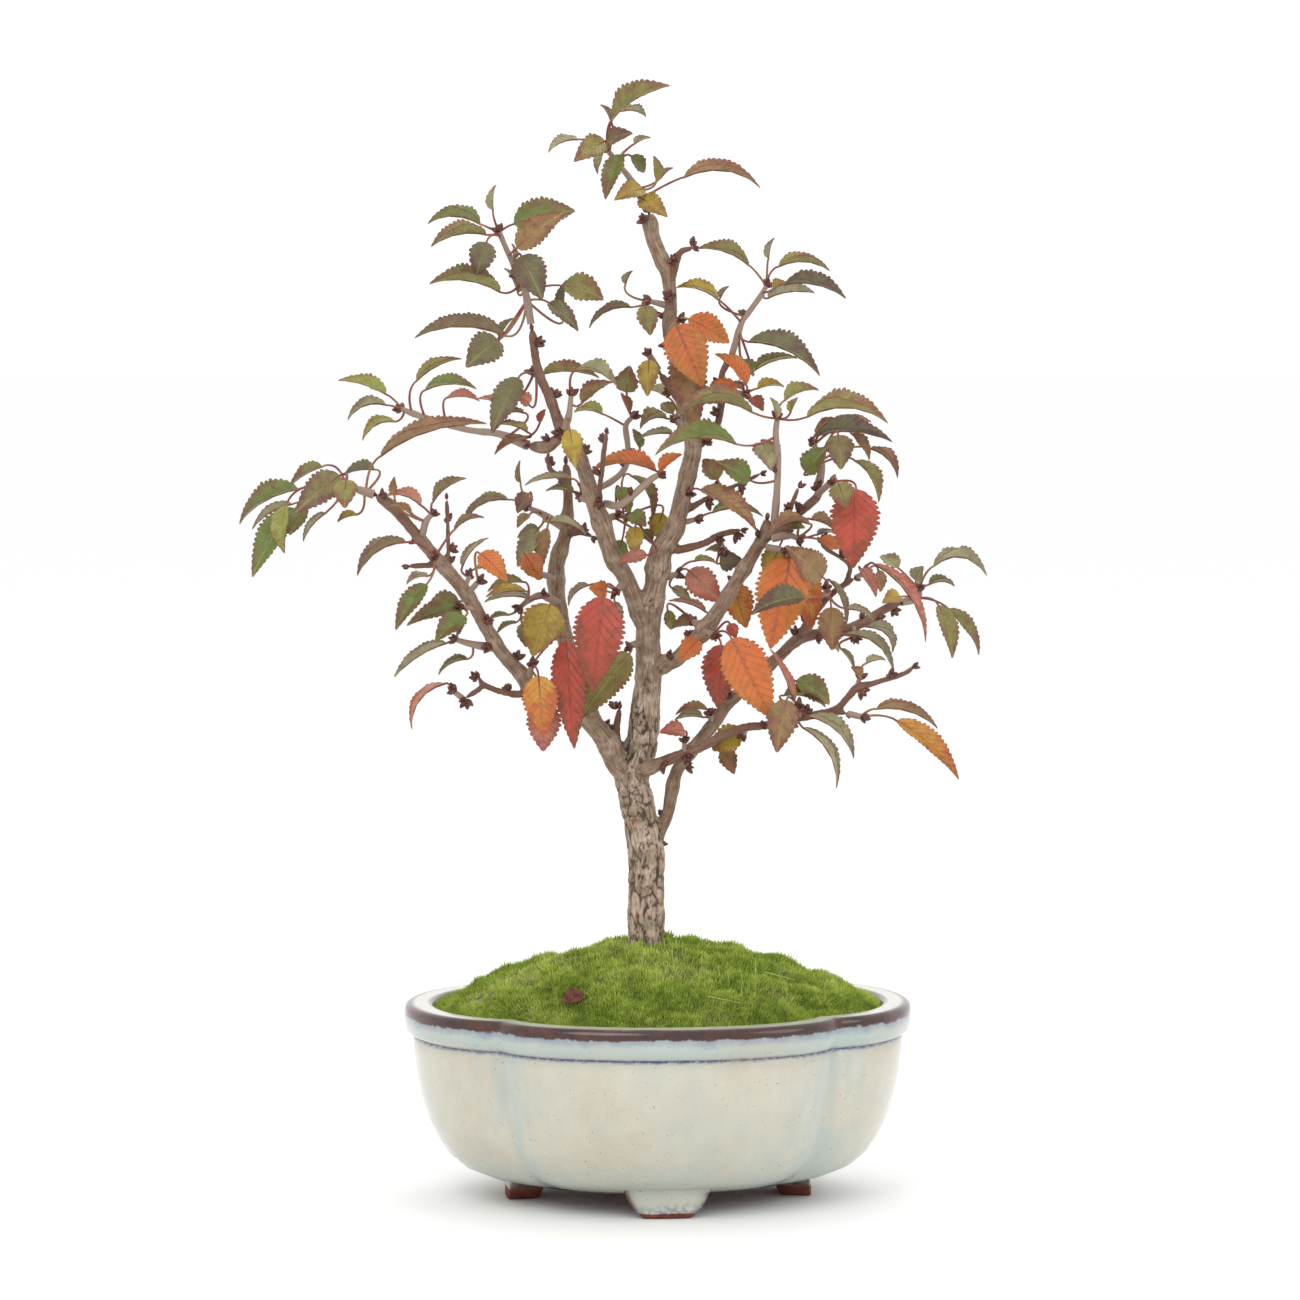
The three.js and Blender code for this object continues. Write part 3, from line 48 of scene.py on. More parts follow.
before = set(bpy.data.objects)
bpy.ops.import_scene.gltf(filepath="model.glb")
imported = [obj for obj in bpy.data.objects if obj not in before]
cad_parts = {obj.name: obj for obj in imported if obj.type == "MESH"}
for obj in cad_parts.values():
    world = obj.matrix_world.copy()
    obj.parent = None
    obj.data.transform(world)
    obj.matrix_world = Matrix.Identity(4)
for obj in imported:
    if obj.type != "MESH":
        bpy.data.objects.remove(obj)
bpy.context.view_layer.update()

MM = 0.001
POT_LOW, POT_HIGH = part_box("pot")
POT_X = (POT_LOW.x + POT_HIGH.x) / 2 / MM
POT_Y = (POT_LOW.y + POT_HIGH.y) / 2 / MM
POT_HALF_WIDTH = (POT_HIGH.x - POT_LOW.x) / 2 / MM
POT_NARROWER = POT_HALF_WIDTH - (POT_HIGH.y - POT_LOW.y) / 2 / MM
POT_HEIGHT = POT_HIGH.z / MM
CREASE_DEPTH = 0.075

# The front view that the tables were read from
SIGHT_DISTANCE = 1600
SIGHT_HEIGHT = 297
SIGHT_TURN = math.radians(4)
SIGHT_AIM = (-2.7, 183.6, 0)
LENS = 132.9

# How much deeper the crown is than its listed depths
CROWN_DEPTH = 1.4

# Wood grown as one piece: each limb's route, as [side, up, depth, radius]
LIMBS = [
  # Trunk and leader
  [[-4, 56, 0, 6.7], [-4, 84, 0, 6.4], [-4, 100.7, 0, 6.2], [-4, 115, 0, 6.3],
    [-6, 127, 1, 5.8], [-7.8, 135.3, 2, 5.8], [-8.8, 141.7, 2, 6.2], [-5.5, 152, 1, 5.6],
    [-4.5, 162.3, 0, 5.2], [-3.3, 173, 0, 4.7], [-3.2, 191.3, 0, 4.2], [-0.8, 205.7, -1, 3.8],
    [1, 216.7, -2, 4], [5.2, 223.7, -3, 3.2], [8, 234, -3, 3], [10.3, 244, -3, 3],
    [11.7, 251.3, -3, 3], [9.7, 262, -2, 2.6], [7.3, 270, -1, 2], [5.7, 279.5, 0, 1.9],
    [3.3, 290.3, 1, 2], [4.2, 297.7, 1, 2.2], [3.3, 308.3, 2, 2.4], [1.3, 313.4, 2, 2.6],
    [-1.7, 320.7, 3, 2.6], [-3, 328.7, 3, 2.4]],
  # Second leader, to the left
  [[-3.5, 190, 0, 3], [-6, 195.7, -1, 3.3], [-10.8, 207.8, -2, 3], [-15.2, 215, -3, 3],
    [-18.8, 226, -4, 3.2], [-21.7, 233.8, -5, 2.8], [-24.7, 244, -7, 2.6],
    [-28.2, 251.3, -8, 2.3], [-32.5, 258.3, -9, 2], [-36.1, 267.8, -10, 1.7],
    [-39, 274.3, -11, 1.5], [-40.5, 279.5, -11, 1.4], [-42, 290.3, -11, 1.4]],
  # Lower left branch, which comes forward
  [[-8.5, 141, 1, 4], [-13.7, 145.7, 0, 4], [-16.7, 152.2, -2, 3.7], [-23.1, 160.1, -5, 3.4],
    [-33, 167, -7, 2.9], [-42.7, 171, -10, 2.6], [-45.5, 175.3, -11, 2.5],
    [-52, 182.5, -14, 2.4], [-57.1, 190.5, -17, 2.3], [-61.4, 198.4, -19, 2.3],
    [-66.5, 205.7, -21, 2.3], [-71.5, 211.4, -22, 2.4], [-78.8, 220, -21, 1.9],
    [-88.2, 231, -20, 1.8], [-94, 235.3, -20, 1.7]],
  # Root of the long left twig
  [[-30, 257, -9, 1.6], [-36.7, 251.7, -9, 2.1], [-42.7, 251.7, -7, 2]],
  # Left branch at the back, cut off at its top
  [[-17, 153, -1, 3], [-19.3, 155.7, 3, 2.6], [-24.3, 167.3, 10, 2.8],
    [-29.3, 180.7, 16, 2.9], [-33.3, 198.3, 22, 2.9], [-34, 211.3, 25, 2.9], [-32.2, 218, 26, 2.6],
    [-30.7, 223.7, 27, 2.3], [-30, 233.1, 28, 1.8], [-30.7, 245.8, 29, 1.6]],
  [[-31, 222, 27, 1.5], [-26, 223, 24, 1.1], [-22, 221.5, 22, 0.9]],
  [[-30.2, 240, 28.5, 1.1], [-36, 244, 27, 0.9], [-36.7, 250.7, 26, 0.7]],
  # Right branch and its fork
  [[-1, 176, -1, 3], [3, 179.5, -2, 2.8], [6, 180.3, -3, 2.7], [11.7, 186.1, -5, 2.6],
    [15.3, 189.8, -6, 3], [21.2, 198.4, -8, 2.5], [26.9, 207.8, -10, 2.4], [31.3, 215, -11, 2.2],
    [35.6, 222.3, -12, 2.2], [36.3, 227.3, -12, 1.4]],
  [[35.5, 221.5, -12, 1.8], [38.3, 224, -12, 1.5]],
  [[36, 220.8, -12, 1.6], [42, 224, -12, 1.5], [47.2, 229.5, -10, 1.4],
    [52.9, 234.7, -7, 1.5], [53.6, 238.2, -6, 1.7]],
  [[41, 223.5, -12, 1], [46.9, 238, -13, 0.8]],
  # Lower right branch, which leaves the trunk low and runs behind
  [[-2, 112, 0, 3], [-1, 119, 1, 2.4], [3, 128, 2, 2.1], [4.2, 134, 3, 2.3],
    [6, 142.3, 4, 2.2], [9, 147.1, 5, 2.4], [13.7, 153, 7, 2.2], [19.7, 160.3, 10, 2.2],
    [23.3, 165.7, 11, 2.1], [30.7, 172.3, 13, 2.1], [39.7, 180.7, 14, 2], [46.9, 187.2, 12, 2],
    [54.9, 189.3, 11, 1.9], [63.5, 190.8, 16, 1.8], [70, 193.7, 21, 1.7], [75.8, 197.3, 26, 1.6],
    [80.5, 199.2, 29.5, 1.4]],
  [[47.5, 188, 11.5, 1.6], [50, 192.5, 7, 1.4], [55, 199.5, -1, 1.2], [60, 204, -3, 1.1],
    [65.5, 207.5, -2, 1]],
  [[62.5, 205.8, -2.5, 0.9], [63.8, 212, -4, 0.8], [56, 217.5, -5, 0.8],
    [54.5, 219.5, -6, 1]],
  # Lowest right branch, which comes forward
  [[-5, 143, -2, 3], [0, 145.3, -4, 2.2], [9, 149, -5, 1.8], [17.3, 152.5, -8, 1.7],
    [24.3, 156, -11, 1.6], [30.3, 157.8, -13, 1.5], [35.3, 158.3, -15, 1.4],
    [46.9, 160.8, -19, 1.4], [58.5, 163.3, -23, 1.3], [63.5, 167.7, -25, 1.2],
    [66.3, 170.7, -26, 1.4], [72.9, 172.7, -28, 1], [82.3, 175.7, -30, 0.9],
    [85.2, 177.8, -31, 1]],
  [[58, 163.2, -23, 1.2], [63, 162.4, -25, 1.1]],
  # Upper right twig
  [[10.5, 249, -3, 1.6], [14, 252.3, -1, 1.4], [19.7, 259, 3, 1.3], [21.3, 269, 7, 1.3],
    [21.3, 275.7, 10, 1.2], [24, 281, 13, 1.2]],
  # Stubs and bare twigs
  [[8.5, 265.5, -1.5, 1.6], [0.7, 275.7, 0, 1.4]],
  [[4, 306, 1.5, 1.7], [7, 315.5, 1, 1.2], [11.5, 317.5, 0, 1]],
  [[-19.3, 232, -5, 1.2], [-19.5, 237, -12, 1], [-17.3, 256, -24, 0.9]],
  [[4, 217, -2, 1.6], [8, 217.3, -3, 1.4], [15.3, 219.3, -4, 1.3], [21.2, 222.3, -5, 1.2],
    [27.7, 223.7, -6, 1.1]],
  [[8, 229.5, -3, 1.2], [18.3, 235.3, 0, 0.9], [26.9, 239, 3, 0.8], [34.2, 242.5, 5, 0.8]],
  [[-42.5, 171, -10, 1.3], [-44.8, 168.8, -11, 1.2], [-52, 169.5, -12, 1.1],
    [-59, 172.3, -13, 1], [-60, 174.5, -13, 1]],
  [[-58, 171.6, -13, 0.9], [-64.5, 167.5, -14, 0.9]],
  [[-71, 212, -22, 1], [-70, 216, -21.5, 0.8], [-70.5, 234, -20, 0.7]],
  [[-73, 212, -22.5, 1.1], [-83.3, 211.7, -24, 0.9]],
  [[-11, 150, 1, 1.8], [-14, 154, 0, 1.4], [-13, 164, -1, 1.1]],
]

# Leafy shoots: the node it stands for, its slot, a letter of LEAF_COLOURS for each leaf, the
# route of its twig, and its leaves, as the blade's base and tip, then its roll, bow and width
SHOOTS = [
  ("leaves_top", "leaf_green", "ompmpopgpgyyoob",
    [[-3.6, 330.5, 3, 1.9], [-4.3, 332.3, 4, 1.7], [-9, 340, 5, 1.2], [-13, 345, 6, 1],
      [-16.5, 349.5, 7, 0.9]],
    [
      [-15, 360.5, 5, 4, 371, -2, 35, 2.5, 11], [-15.5, 359.5, 9, -19, 365, 12, 20, 0.5, 4],
      [-11.5, 363, 12, -4, 361, 18, -10, 1, 5], [-17, 353, 2, -8.5, 355.5, -4, 60, 0.8, 6],
      [-8, 352, 4, -2.5, 354, 8, 20, 0.5, 3.5], [-17.5, 353, 3, -28, 346, -6, 70, 1.2, 8],
      [-27, 353.5, 10, -36.5, 349.5, 18, -20, 1.2, 5], [-12, 348.5, 0, -17.5, 333.5, -4, 60, 1.5, 7],
      [-18, 350, 9, -20, 342, 12, 40, 0.8, 4], [-9, 348, 8, -4.5, 342.5, 14, 60, 0.8, 5],
      [-5, 337, 2, -14.5, 333.5, -6, 60, 1, 7], [-6, 334, 1, 3, 328, -6, 70, 1.2, 7],
      [-0.5, 340, 6, -1.5, 348, 9, 50, 0.8, 4], [1, 341, 9, 5, 344, 14, 30, 0.5, 3],
      [8.5, 341, 8, 34, 338, 12, 15, 4, 8]]),
  ("leaves_upper_left", "leaf_green", "pgodgmgbdpodddmp",
    [[-42.3, 292.3, -11, 1.4], [-44.1, 302.7, -11, 1.3], [-47, 309.8, -11, 1.2],
      [-50.7, 317.8, -10, 1], [-52.8, 322.8, -10, 0.9]],
    [
      [-55, 330, -10, -54, 338.5, -8, 30, 0.6, 4], [-59, 325.5, -8, -76.5, 326, -2, 5, 2.4, 8.5],
      [-57, 322, -13, -75.5, 318, -20, 12, 2.2, 9], [-57, 319.5, -16, -60.5, 308, -19, 85, 1.2, 8.5],
      [-52.5, 303, -14, -76, 306, -22, 15, 2.5, 11], [-46.5, 302.5, -8, -51, 311, -2, 25, 0.8, 5],
      [-48, 325.5, -9, -27.5, 330, -4, 65, 1.8, 11], [-47, 317.5, -14, -31, 329.5, -17, 70, 1.5, 9],
      [-45.5, 315, -15, -38.5, 300.5, -20, 85, 1.5, 11], [-48, 314, -8, -48.5, 319, -4, 20, 0.4, 3],
      [-31.5, 305, -8, -18, 300.5, -6, 60, 1.5, 10], [-36.5, 299.5, -12, -26.5, 290, -16, 60, 1.2, 6],
      [-31.5, 295, -4, -30.5, 307, 2, 40, 1, 5], [-53, 287, -14, -64, 278, -20, 75, 1.5, 11],
      [-51, 288.5, -9, -81, 288, -4, -5, 3.4, 10], [-53, 288, -6, -48, 294.5, -2, 30, 0.6, 4]]),
  ("leaves_left_reach", "leaf_green", "lplogkbobr",
    [[-43.5, 252, -6.6, 1.8], [-52.7, 255.7, -2, 1.3], [-64.3, 257.3, 6, 1.1],
      [-78, 261.3, 16, 1.1], [-85.3, 264, 22, 0.9]],
    [
      [-90.5, 269, 22, -106.5, 273.5, 28, 35, 1.5, 7], [-90.5, 265.5, 20, -103.5, 260.5, 16, 0, 2.5, 6],
      [-87.5, 260, 20, -98.5, 253.5, 18, 10, 2.5, 6], [-80.5, 273.5, 18, -65.5, 281, 20, 20, 1.5, 6],
      [-77.5, 270.5, 14, -60.5, 271, 8, 25, 2, 7], [-70, 268, 9, -59.5, 267, 2, 30, 1, 5],
      [-44, 254.5, -10, -54.5, 249, -16, 30, 1.2, 5], [-43.5, 256.5, -12, -53.5, 259, -20, 0, 1, 4],
      [-45, 263, -12, -52, 262, -18, 20, 0.8, 4], [-39.5, 259.5, -10, -37.5, 264, -8, 50, 0.4, 3]]),
  ("leaves_far_left", "leaf_green", "gpglopmodoyb",
    [[-94.8, 235.6, -20, 1.7], [-98.3, 236.7, -20, 1.4], [-104, 238.5, -20, 0.9]],
    [
      [-120, 237.5, -16, -140, 226, -8, 30, 2.5, 10], [-122, 232.5, -22, -135.5, 224, -26, -5, 1.6, 5],
      [-121, 231, -26, -135.5, 208, -34, 60, 2.5, 10], [-124, 232, -30, -125, 216, -36, 50, 1.5, 7],
      [-117, 231.5, -22, -123, 222, -20, 70, 1, 5], [-111, 229.5, -18, -118.5, 220, -14, 0, 1, 4],
      [-106, 242, -26, -121, 229.5, -34, 75, 1.5, 10], [-112, 245, -12, -123, 238, -4, 25, 1, 6],
      [-94.5, 244, -14, -105, 242, -8, 30, 1, 6], [-104, 240.5, -30, -104.5, 231, -34, 80, 1, 8],
      [-100.5, 229, -22, -107, 226.5, -26, 30, 0.6, 4], [-92.5, 248.5, -18, -57, 259, -26, 15, 3.5, 9]]),
  ("leaves_left_bend", "leaf_green", "bkbm",
    [[-79, 220.5, -21, 1.3], [-77.5, 226.5, -22, 1], [-75.5, 228.8, -22, 0.8]],
    [
      [-88, 235, -24, -88, 241.5, -25, 60, 0.3, 3], [-79, 232, -18, -91, 235, -10, 20, 2, 6],
      [-82, 229, -25, -89, 232, -32, 30, 0.6, 4], [-75, 233.5, -24, -64, 241, -30, 30, 1.5, 6]]),
  ("leaves_left_knot", "leaf_green", "mmpg",
    [[-72.5, 212.5, -23, 1.3], [-74.5, 214.5, -26.5, 0.9]],
    [
      [-68, 224, -26, -58, 228, -30, 20, 1.5, 4], [-84, 219.8, -28, -100.5, 208.5, -36, 10, 3, 8],
      [-77, 208.5, -30, -84, 205.7, -36, 20, 1, 4], [-77.3, 205.7, -32, -87.8, 190.4, -38, 60, 1.5, 7]]),
  ("leaves_left_cluster", "leaf_green", "pp",
    [[-65, 204, -20, 1.1], [-63, 208, -17, 0.8]],
    [
      [-65.5, 211.5, -14, -56.5, 221, -8, 10, 1.5, 4], [-60.5, 211, -12, -54, 211, -6, 10, 0.5, 3]]),
  ("leaves_left_orange", "leaf_orange", "O",
    [[-63.5, 202.5, -21, 1], [-60, 206.5, -26, 0.8]],
    [[-59.5, 216, -29, -50.5, 206.5, -33, 70, 1.5, 7.5]]),
  ("leaves_back_left", "leaf_green", "mmmbmpbp",
    [[-31.5, 224.5, 27, 1.5], [-38.5, 229, 29, 1.2], [-43, 231, 31, 0.9]],
    [
      [-50, 234, 32, -65, 226, 40, 5, 3, 6], [-43, 236, 28, -47, 229.5, 24, 70, 0.6, 6],
      [-46, 239.5, 34, -46, 247, 38, 20, 0.4, 3], [-43, 229, 24, -47, 224.5, 20, 50, 0.5, 4],
      [-40, 224.5, 30, -47, 221, 36, 30, 0.6, 4], [-40, 224, 22, -47, 211.5, 18, 70, 1.2, 7],
      [-37, 224.5, 20, -39.5, 209, 19, 70, 1.2, 5], [-36, 226.5, 22, -24, 222.5, 14, -10, 1.5, 5]]),
  ("leaves_mid_left", "leaf_green", "oypggyp",
    [[-33.5, 199.5, 21, 1.5], [-39, 202, 14, 1.2], [-43.5, 200, 10, 0.9], [-46, 198, 8, 0.8]],
    [
      [-45, 206.5, 8, -57, 203, 2, 35, 1.5, 5], [-44.5, 203.5, 4, -57.5, 201.5, -4, 25, 1, 5],
      [-43, 201, 12, -58, 199.5, 18, 0, 1.5, 5], [-50, 195.5, 6, -57, 193.5, 2, 20, 0.6, 3],
      [-47.5, 193, 4, -54, 189, -2, 20, 0.8, 3], [-36, 199, 6, -42, 181.5, 2, 85, 1.5, 14],
      [-45.5, 192.5, 12, -44, 184.5, 10, 80, 0.6, 5]]),
  ("leaves_mid_orange", "leaf_orange", "O",
    [[-35, 207.5, 21, 1.1], [-41, 210, 9, 0.8]],
    [[-44.5, 215.5, 9, -39.5, 207, 6, 75, 0.8, 8]]),
  ("leaves_left_green", "leaf_green", "ogg",
    [[-60.5, 197.5, -19, 1.1], [-65.5, 198, -22, 0.8]],
    [
      [-66.5, 200, -16, -78, 196.5, -10, 35, 1.2, 7], [-66, 197.5, -22, -84, 191.9, -28, 50, 2, 7],
      [-64.5, 195, -26, -74.5, 186.5, -32, 60, 1.2, 8]]),
  ("leaves_left_nest", "leaf_green", "pgd",
    [[-55, 184.3, -15, 1.5], [-62, 185.5, -16, 1.3], [-67.5, 187, -17, 0.9]],
    [
      [-70.8, 186, -16, -88.2, 174.5, -10, 0, 1.5, 6], [-63.6, 180.7, -14, -73.5, 175.4, -8, 15, 1.5, 4],
      [-67, 188.5, -17, -68, 201.5, -12, 40, 0.5, 3.5]]),
  ("leaves_low_twig", "leaf_red", "k",
    [[-65.3, 167.3, -14, 1], [-68.2, 169.6, -15.5, 0.8]],
    [[-71.5, 172.4, -16, -82.7, 157.2, -22, 5, 3.5, 5]]),
  ("leaves_deep_red", "leaf_red", "rOpp",
    [[-10.5, 206.5, -2, 1.5], [-14, 203.5, -8, 1]],
    [
      [-18.5, 201.5, -20, -22, 169.5, -26, 90, 2.5, 16], [-17, 203.2, -13, -23, 204.5, -17, 80, 0.4, 6],
      [-23, 205.5, -6, -30, 198.5, -2, 0, 1.5, 4], [-14.5, 200, -7, -13, 190.5, -9, 70, 0.6, 4]]),
  ("leaves_low_orange", "leaf_orange", "rak",
    [[-43.5, 173, -10, 1.2], [-42.3, 178.5, -15, 0.9]],
    [
      [-31, 187, -16, -28, 150.5, -22, 90, 2, 11], [-40, 175, -20, -38.3, 154.7, -24, 90, 1.5, 11.5],
      [-38, 166, -16, -38.5, 149.5, -18, 90, 1, 11]]),
  ("leaves_trunk_left", "leaf_green", "o",
    [[-5, 186.5, -1, 1.4], [-9.5, 185, -7, 0.9]],
    [[-9.5, 182.5, -10, -26, 160.5, -15, 75, 2, 12]]),
  ("leaves_between", "leaf_green", "oggyyggk",
    [[-18, 227, -3, 1.4], [-14, 228.5, 3, 1], [-11, 228, 6, 0.8]],
    [
      [-9, 242, 6, -2.5, 226.5, 2, 30, 3.5, 6], [-13, 238, 4, -9.5, 229, 0, 70, 1, 6],
      [-9, 229.5, -2, -4, 225, -6, 75, 0.5, 6], [-7.5, 225, -4, -8, 215, -8, 85, 1, 6],
      [1.5, 229.5, 10, -1, 221.5, 12, 80, 0.6, 7], [-12, 220.5, 6, -14, 212.5, 8, 80, 0.6, 6],
      [-5, 224, 3, -2, 219, 3, 60, 0.4, 4], [-3.5, 215.5, -8, -13.5, 212.5, -8, 60, 1, 5]]),
  ("leaves_leader_knot", "leaf_green", "po",
    [[-21.5, 232.5, -4, 1.2], [-25.5, 234.5, 2, 0.9]],
    [
      [-29, 241, 5, -44.5, 239, 12, 0, 1.2, 4], [-28, 236.5, 4, -37.5, 237, 10, 20, 0.8, 4]]),
  ("leaves_centre_orange", "leaf_orange", "OO",
    [[-17.5, 232.5, -7, 1.4], [-12.3, 232.3, -12, 1.2], [-2.8, 240.3, -14, 1.1],
      [0, 242, -14, 0.9]],
    [
      [-0.5, 243.5, -12, -22.5, 243.5, -9, 25, 3, 9], [0.5, 243, -15, 8, 249, -20, 40, 0.8, 6]]),
  ("leaves_centre", "leaf_green", "olbg",
    [[-21.5, 237, -4, 1.2], [-15.5, 240, 1, 1], [-11, 244.5, 2, 1], [-10.1, 251.2, 3, 0.9],
      [-10.8, 258.4, 4, 0.9], [-8.7, 261.3, 4, 0.8]],
    [
      [-10.5, 269.5, 4, -9.5, 278.5, 2, 75, 0.6, 8], [-18.5, 262.5, 6, -28, 263, 12, 20, 1.2, 6],
      [-11.5, 268.5, 8, -9, 263.5, 12, 60, 0.5, 3], [-6, 251, 6, -8.5, 257.5, 10, 50, 0.5, 4]]),
  ("leaves_leader_left", "leaf_green", "pby",
    [[-31.3, 257.5, -11, 1.2], [-29.7, 262, -12, 1], [-29, 268.5, -12, 0.8]],
    [
      [-27, 277, -13, -13.7, 271.6, -18, 30, 2.5, 8], [-25.5, 266, -8, -15, 273, -2, 40, 1.5, 7],
      [-29.5, 257.5, -16, -27.5, 244.5, -18, 85, 1, 7]]),
  ("leaves_leader_side", "leaf_green", "odkk",
    [[-38.5, 273, -11, 1.1], [-41.3, 276, -8, 0.8]],
    [
      [-38.5, 275.8, -5, -19.5, 274.5, 1, 25, 1.8, 7], [-46.5, 274.5, -14, -55.5, 256, -21, 75, 2, 9],
      [-52, 266, -4, -60, 267.5, 2, 20, 0.5, 4], [-43, 265.5, -15, -47, 269.5, -17, 60, 0.4, 5]]),
  ("leaves_stub", "leaf_green", "y",
    [[0, 277, 0, 1.3], [-3, 282, -1, 1.1]],
    [[-3, 280.5, -4, -3.6, 268.4, -7, 85, 1, 7]]),
  ("leaves_leader_mid", "leaf_green", "oopp",
    [[10, 258.5, -1, 1.2], [6.5, 260, 4, 0.8]],
    [
      [3, 261, 5, -6, 257.5, 2, 20, 2, 8], [5, 262.5, 8, 1, 266, 12, 60, 0.4, 5],
      [3.5, 268, 9, -3, 271, 14, 40, 0.8, 6], [5, 256, 3, -7, 254, -3, -10, 1, 4]]),
  ("leaves_leader_high", "leaf_green", "mmo",
    [[3, 298.5, 1, 1.4], [-2.5, 299.8, 2, 0.9]],
    [
      [-9, 298, 4, -23, 291, 10, 5, 2.5, 5], [-11, 305.5, 4, -8.5, 310, 6, 30, 0.4, 3.5],
      [-4.5, 298.5, -2, -2.5, 288.5, -5, 80, 0.8, 7]]),
  ("leaves_leader_orange", "leaf_orange", "ObO",
    [[4, 290.5, 0, 1.2], [7, 293.5, -5, 0.9]],
    [
      [6, 292, -10, 15, 271.5, -15, 90, 1.8, 14], [8, 286, -6, 13, 257.5, -11, 90, 2, 12],
      [10, 294, -8, 23.7, 286, -4, 70, 1.5, 9]]),
  ("leaves_right_orange", "leaf_orange", "OOrmy",
    [[21.6, 270.5, 7, 1.1], [28.5, 269, 2, 0.9]],
    [
      [29.5, 272, 0, 19, 282.5, -4, 40, 1.5, 8], [26, 272.5, -2, 14.5, 266, -3, 80, 1, 8],
      [31, 268, -2, 35, 263.5, -6, 60, 0.4, 5], [28.5, 270.5, 5, 23.5, 272.5, 11, 40, 0.4, 4],
      [33, 271, 5, 42, 271.5, 10, 25, 1, 5]]),
  ("leaves_top_right", "leaf_green", "oympodypdog",
    [[24.6, 282.3, 13.6, 1.2], [27.7, 292.5, 16, 1], [29.5, 295.3, 17, 1],
      [33.8, 301.2, 19, 0.9], [36, 304.8, 20, 0.8]],
    [
      [30, 312, 18, 13, 317.5, 10, 25, 2, 8], [20, 300.5, 12, 6, 304.5, 8, 25, 1.8, 7],
      [20.5, 301, 16, 23.5, 305, 20, 30, 0.3, 3], [36.5, 314, 20, 38.5, 321, 22, 30, 0.5, 3.5],
      [40, 311.5, 22, 57, 310, 28, 10, 2.5, 7], [42, 305.5, 20, 62.5, 301, 16, 25, 2.5, 9],
      [38, 304, 14, 42, 306.5, 8, 40, 0.5, 4], [36.5, 301, 24, 52, 302.5, 32, -10, 1.5, 7],
      [30, 286.5, 12, 54, 275.5, 6, 35, 3.5, 11], [32, 277, 14, 46.5, 281, 18, 20, 1.5, 6],
      [31, 276, 10, 27, 280.5, 6, 60, 0.5, 6]]),
  ("leaves_right_shoot", "leaf_green", "oologppg",
    [[38.7, 225.5, -12.2, 1.4], [39.6, 236.7, -13, 1.2], [39.9, 247, -13, 1.2],
      [39.2, 255.7, -14, 1.1], [39.7, 261, -14, 0.9]],
    [
      [42, 267, -12, 53.5, 270.5, -8, 30, 1.5, 7], [49.5, 261.5, -18, 76.5, 260, -26, 15, 4, 12],
      [44, 263, -10, 46.5, 268, -6, 40, 0.4, 3.5], [31.5, 263, -18, 5, 261.5, -24, 15, 4.5, 11],
      [26, 252.5, -19, -1, 249.5, -27, 30, 4, 11], [34.5, 253, -10, 37.8, 243.8, -17, 70, 1, 9],
      [39.6, 261, -16, 37.4, 268, -18, 40, 0.6, 3.5], [30.5, 240.5, -16, 19.5, 246.5, -21, 65, 1, 8]]),
  ("leaves_right_up", "leaf_green", "bbgdmbbo",
    [[53.7, 239.5, -5.5, 1.6], [54.5, 246, -3, 1.1], [52, 252, 0, 0.9]],
    [
      [58, 259.5, 4, 71, 260, 12, 0, 1, 4], [52.5, 256, -2, 60, 261, -8, 20, 1, 4],
      [49, 243, -8, 56.5, 251.5, -12, 70, 1, 8], [52, 255, 0, 78, 253, 4, 25, 3, 10],
      [60, 255.5, -8, 61, 244, -12, 85, 1.2, 9], [64.5, 256, 4, 70.5, 247, 8, 40, 1, 5],
      [70.7, 251, 0, 80, 241.4, -6, 20, 2, 6], [65.6, 247, -6, 73.6, 233, -12, 35, 2.5, 7]]),
  ("leaves_right_red", "leaf_red", "ro",
    [[53, 235.5, -8, 1.2], [57.5, 239.5, -14, 0.9]],
    [
      [66, 237.5, -18, 65, 211, -22, 90, 2, 15.5], [60, 239.5, -22, 63, 231, -26, 85, 0.8, 8]]),
  ("leaves_right_fork", "leaf_green", "bbOpgy",
    [[38.5, 221, -13.5, 1.5], [43.5, 222, -16, 1.2], [46.5, 221, -16, 0.9]],
    [
      [50.5, 226, -18, 36.5, 221.5, -23, 20, 2.5, 8], [51, 227.5, -10, 59.5, 223, -3, 20, 1, 6],
      [54, 220.5, -12, 61, 217.5, -9, 60, 0.6, 5], [53, 222.3, -6, 60, 223, 1, 10, 0.5, 3],
      [44, 224.5, -18, 49, 224.5, -23, 50, 0.4, 4], [40.5, 218.2, -8, 36, 207.5, -5, 85, 0.8, 8]]),
  ("leaves_right_gold", "leaf_orange", "Oa",
    [[36.5, 218, -13, 1.2], [42, 217, -19, 0.9]],
    [
      [44, 215, -19, 37.5, 184, -24, 90, 2.5, 17], [50, 210, -6, 51, 190, -7, 90, 1.5, 9]]),
  ("leaves_right_low", "leaf_green", "bdbpp",
    [[56.5, 201.5, -2, 1.1], [56, 204.5, -6, 0.9]],
    [
      [55, 208, -17, 42.5, 218.3, -33, 75, 1, 10], [49, 201.3, -28, 31, 195.8, -34, 50, 2, 9],
      [57.8, 198, -9, 58.2, 183.5, -13, 88, 1, 9], [57.5, 207, -7, 62.5, 191, -4, 10, 2, 4],
      [63, 197.5, -10, 72, 194, -14, 0, 1, 4]]),
  ("leaves_far_right", "leaf_green", "pgpooyp",
    [[81.2, 199.5, 30, 1.3], [86.7, 201, 34, 1.2], [87.2, 203.5, 34, 0.9]],
    [
      [91.8, 211.7, 36, 109.8, 208.5, 44, -5, 5, 8], [90.3, 205.6, 36, 99, 205, 42, 15, 1.5, 5],
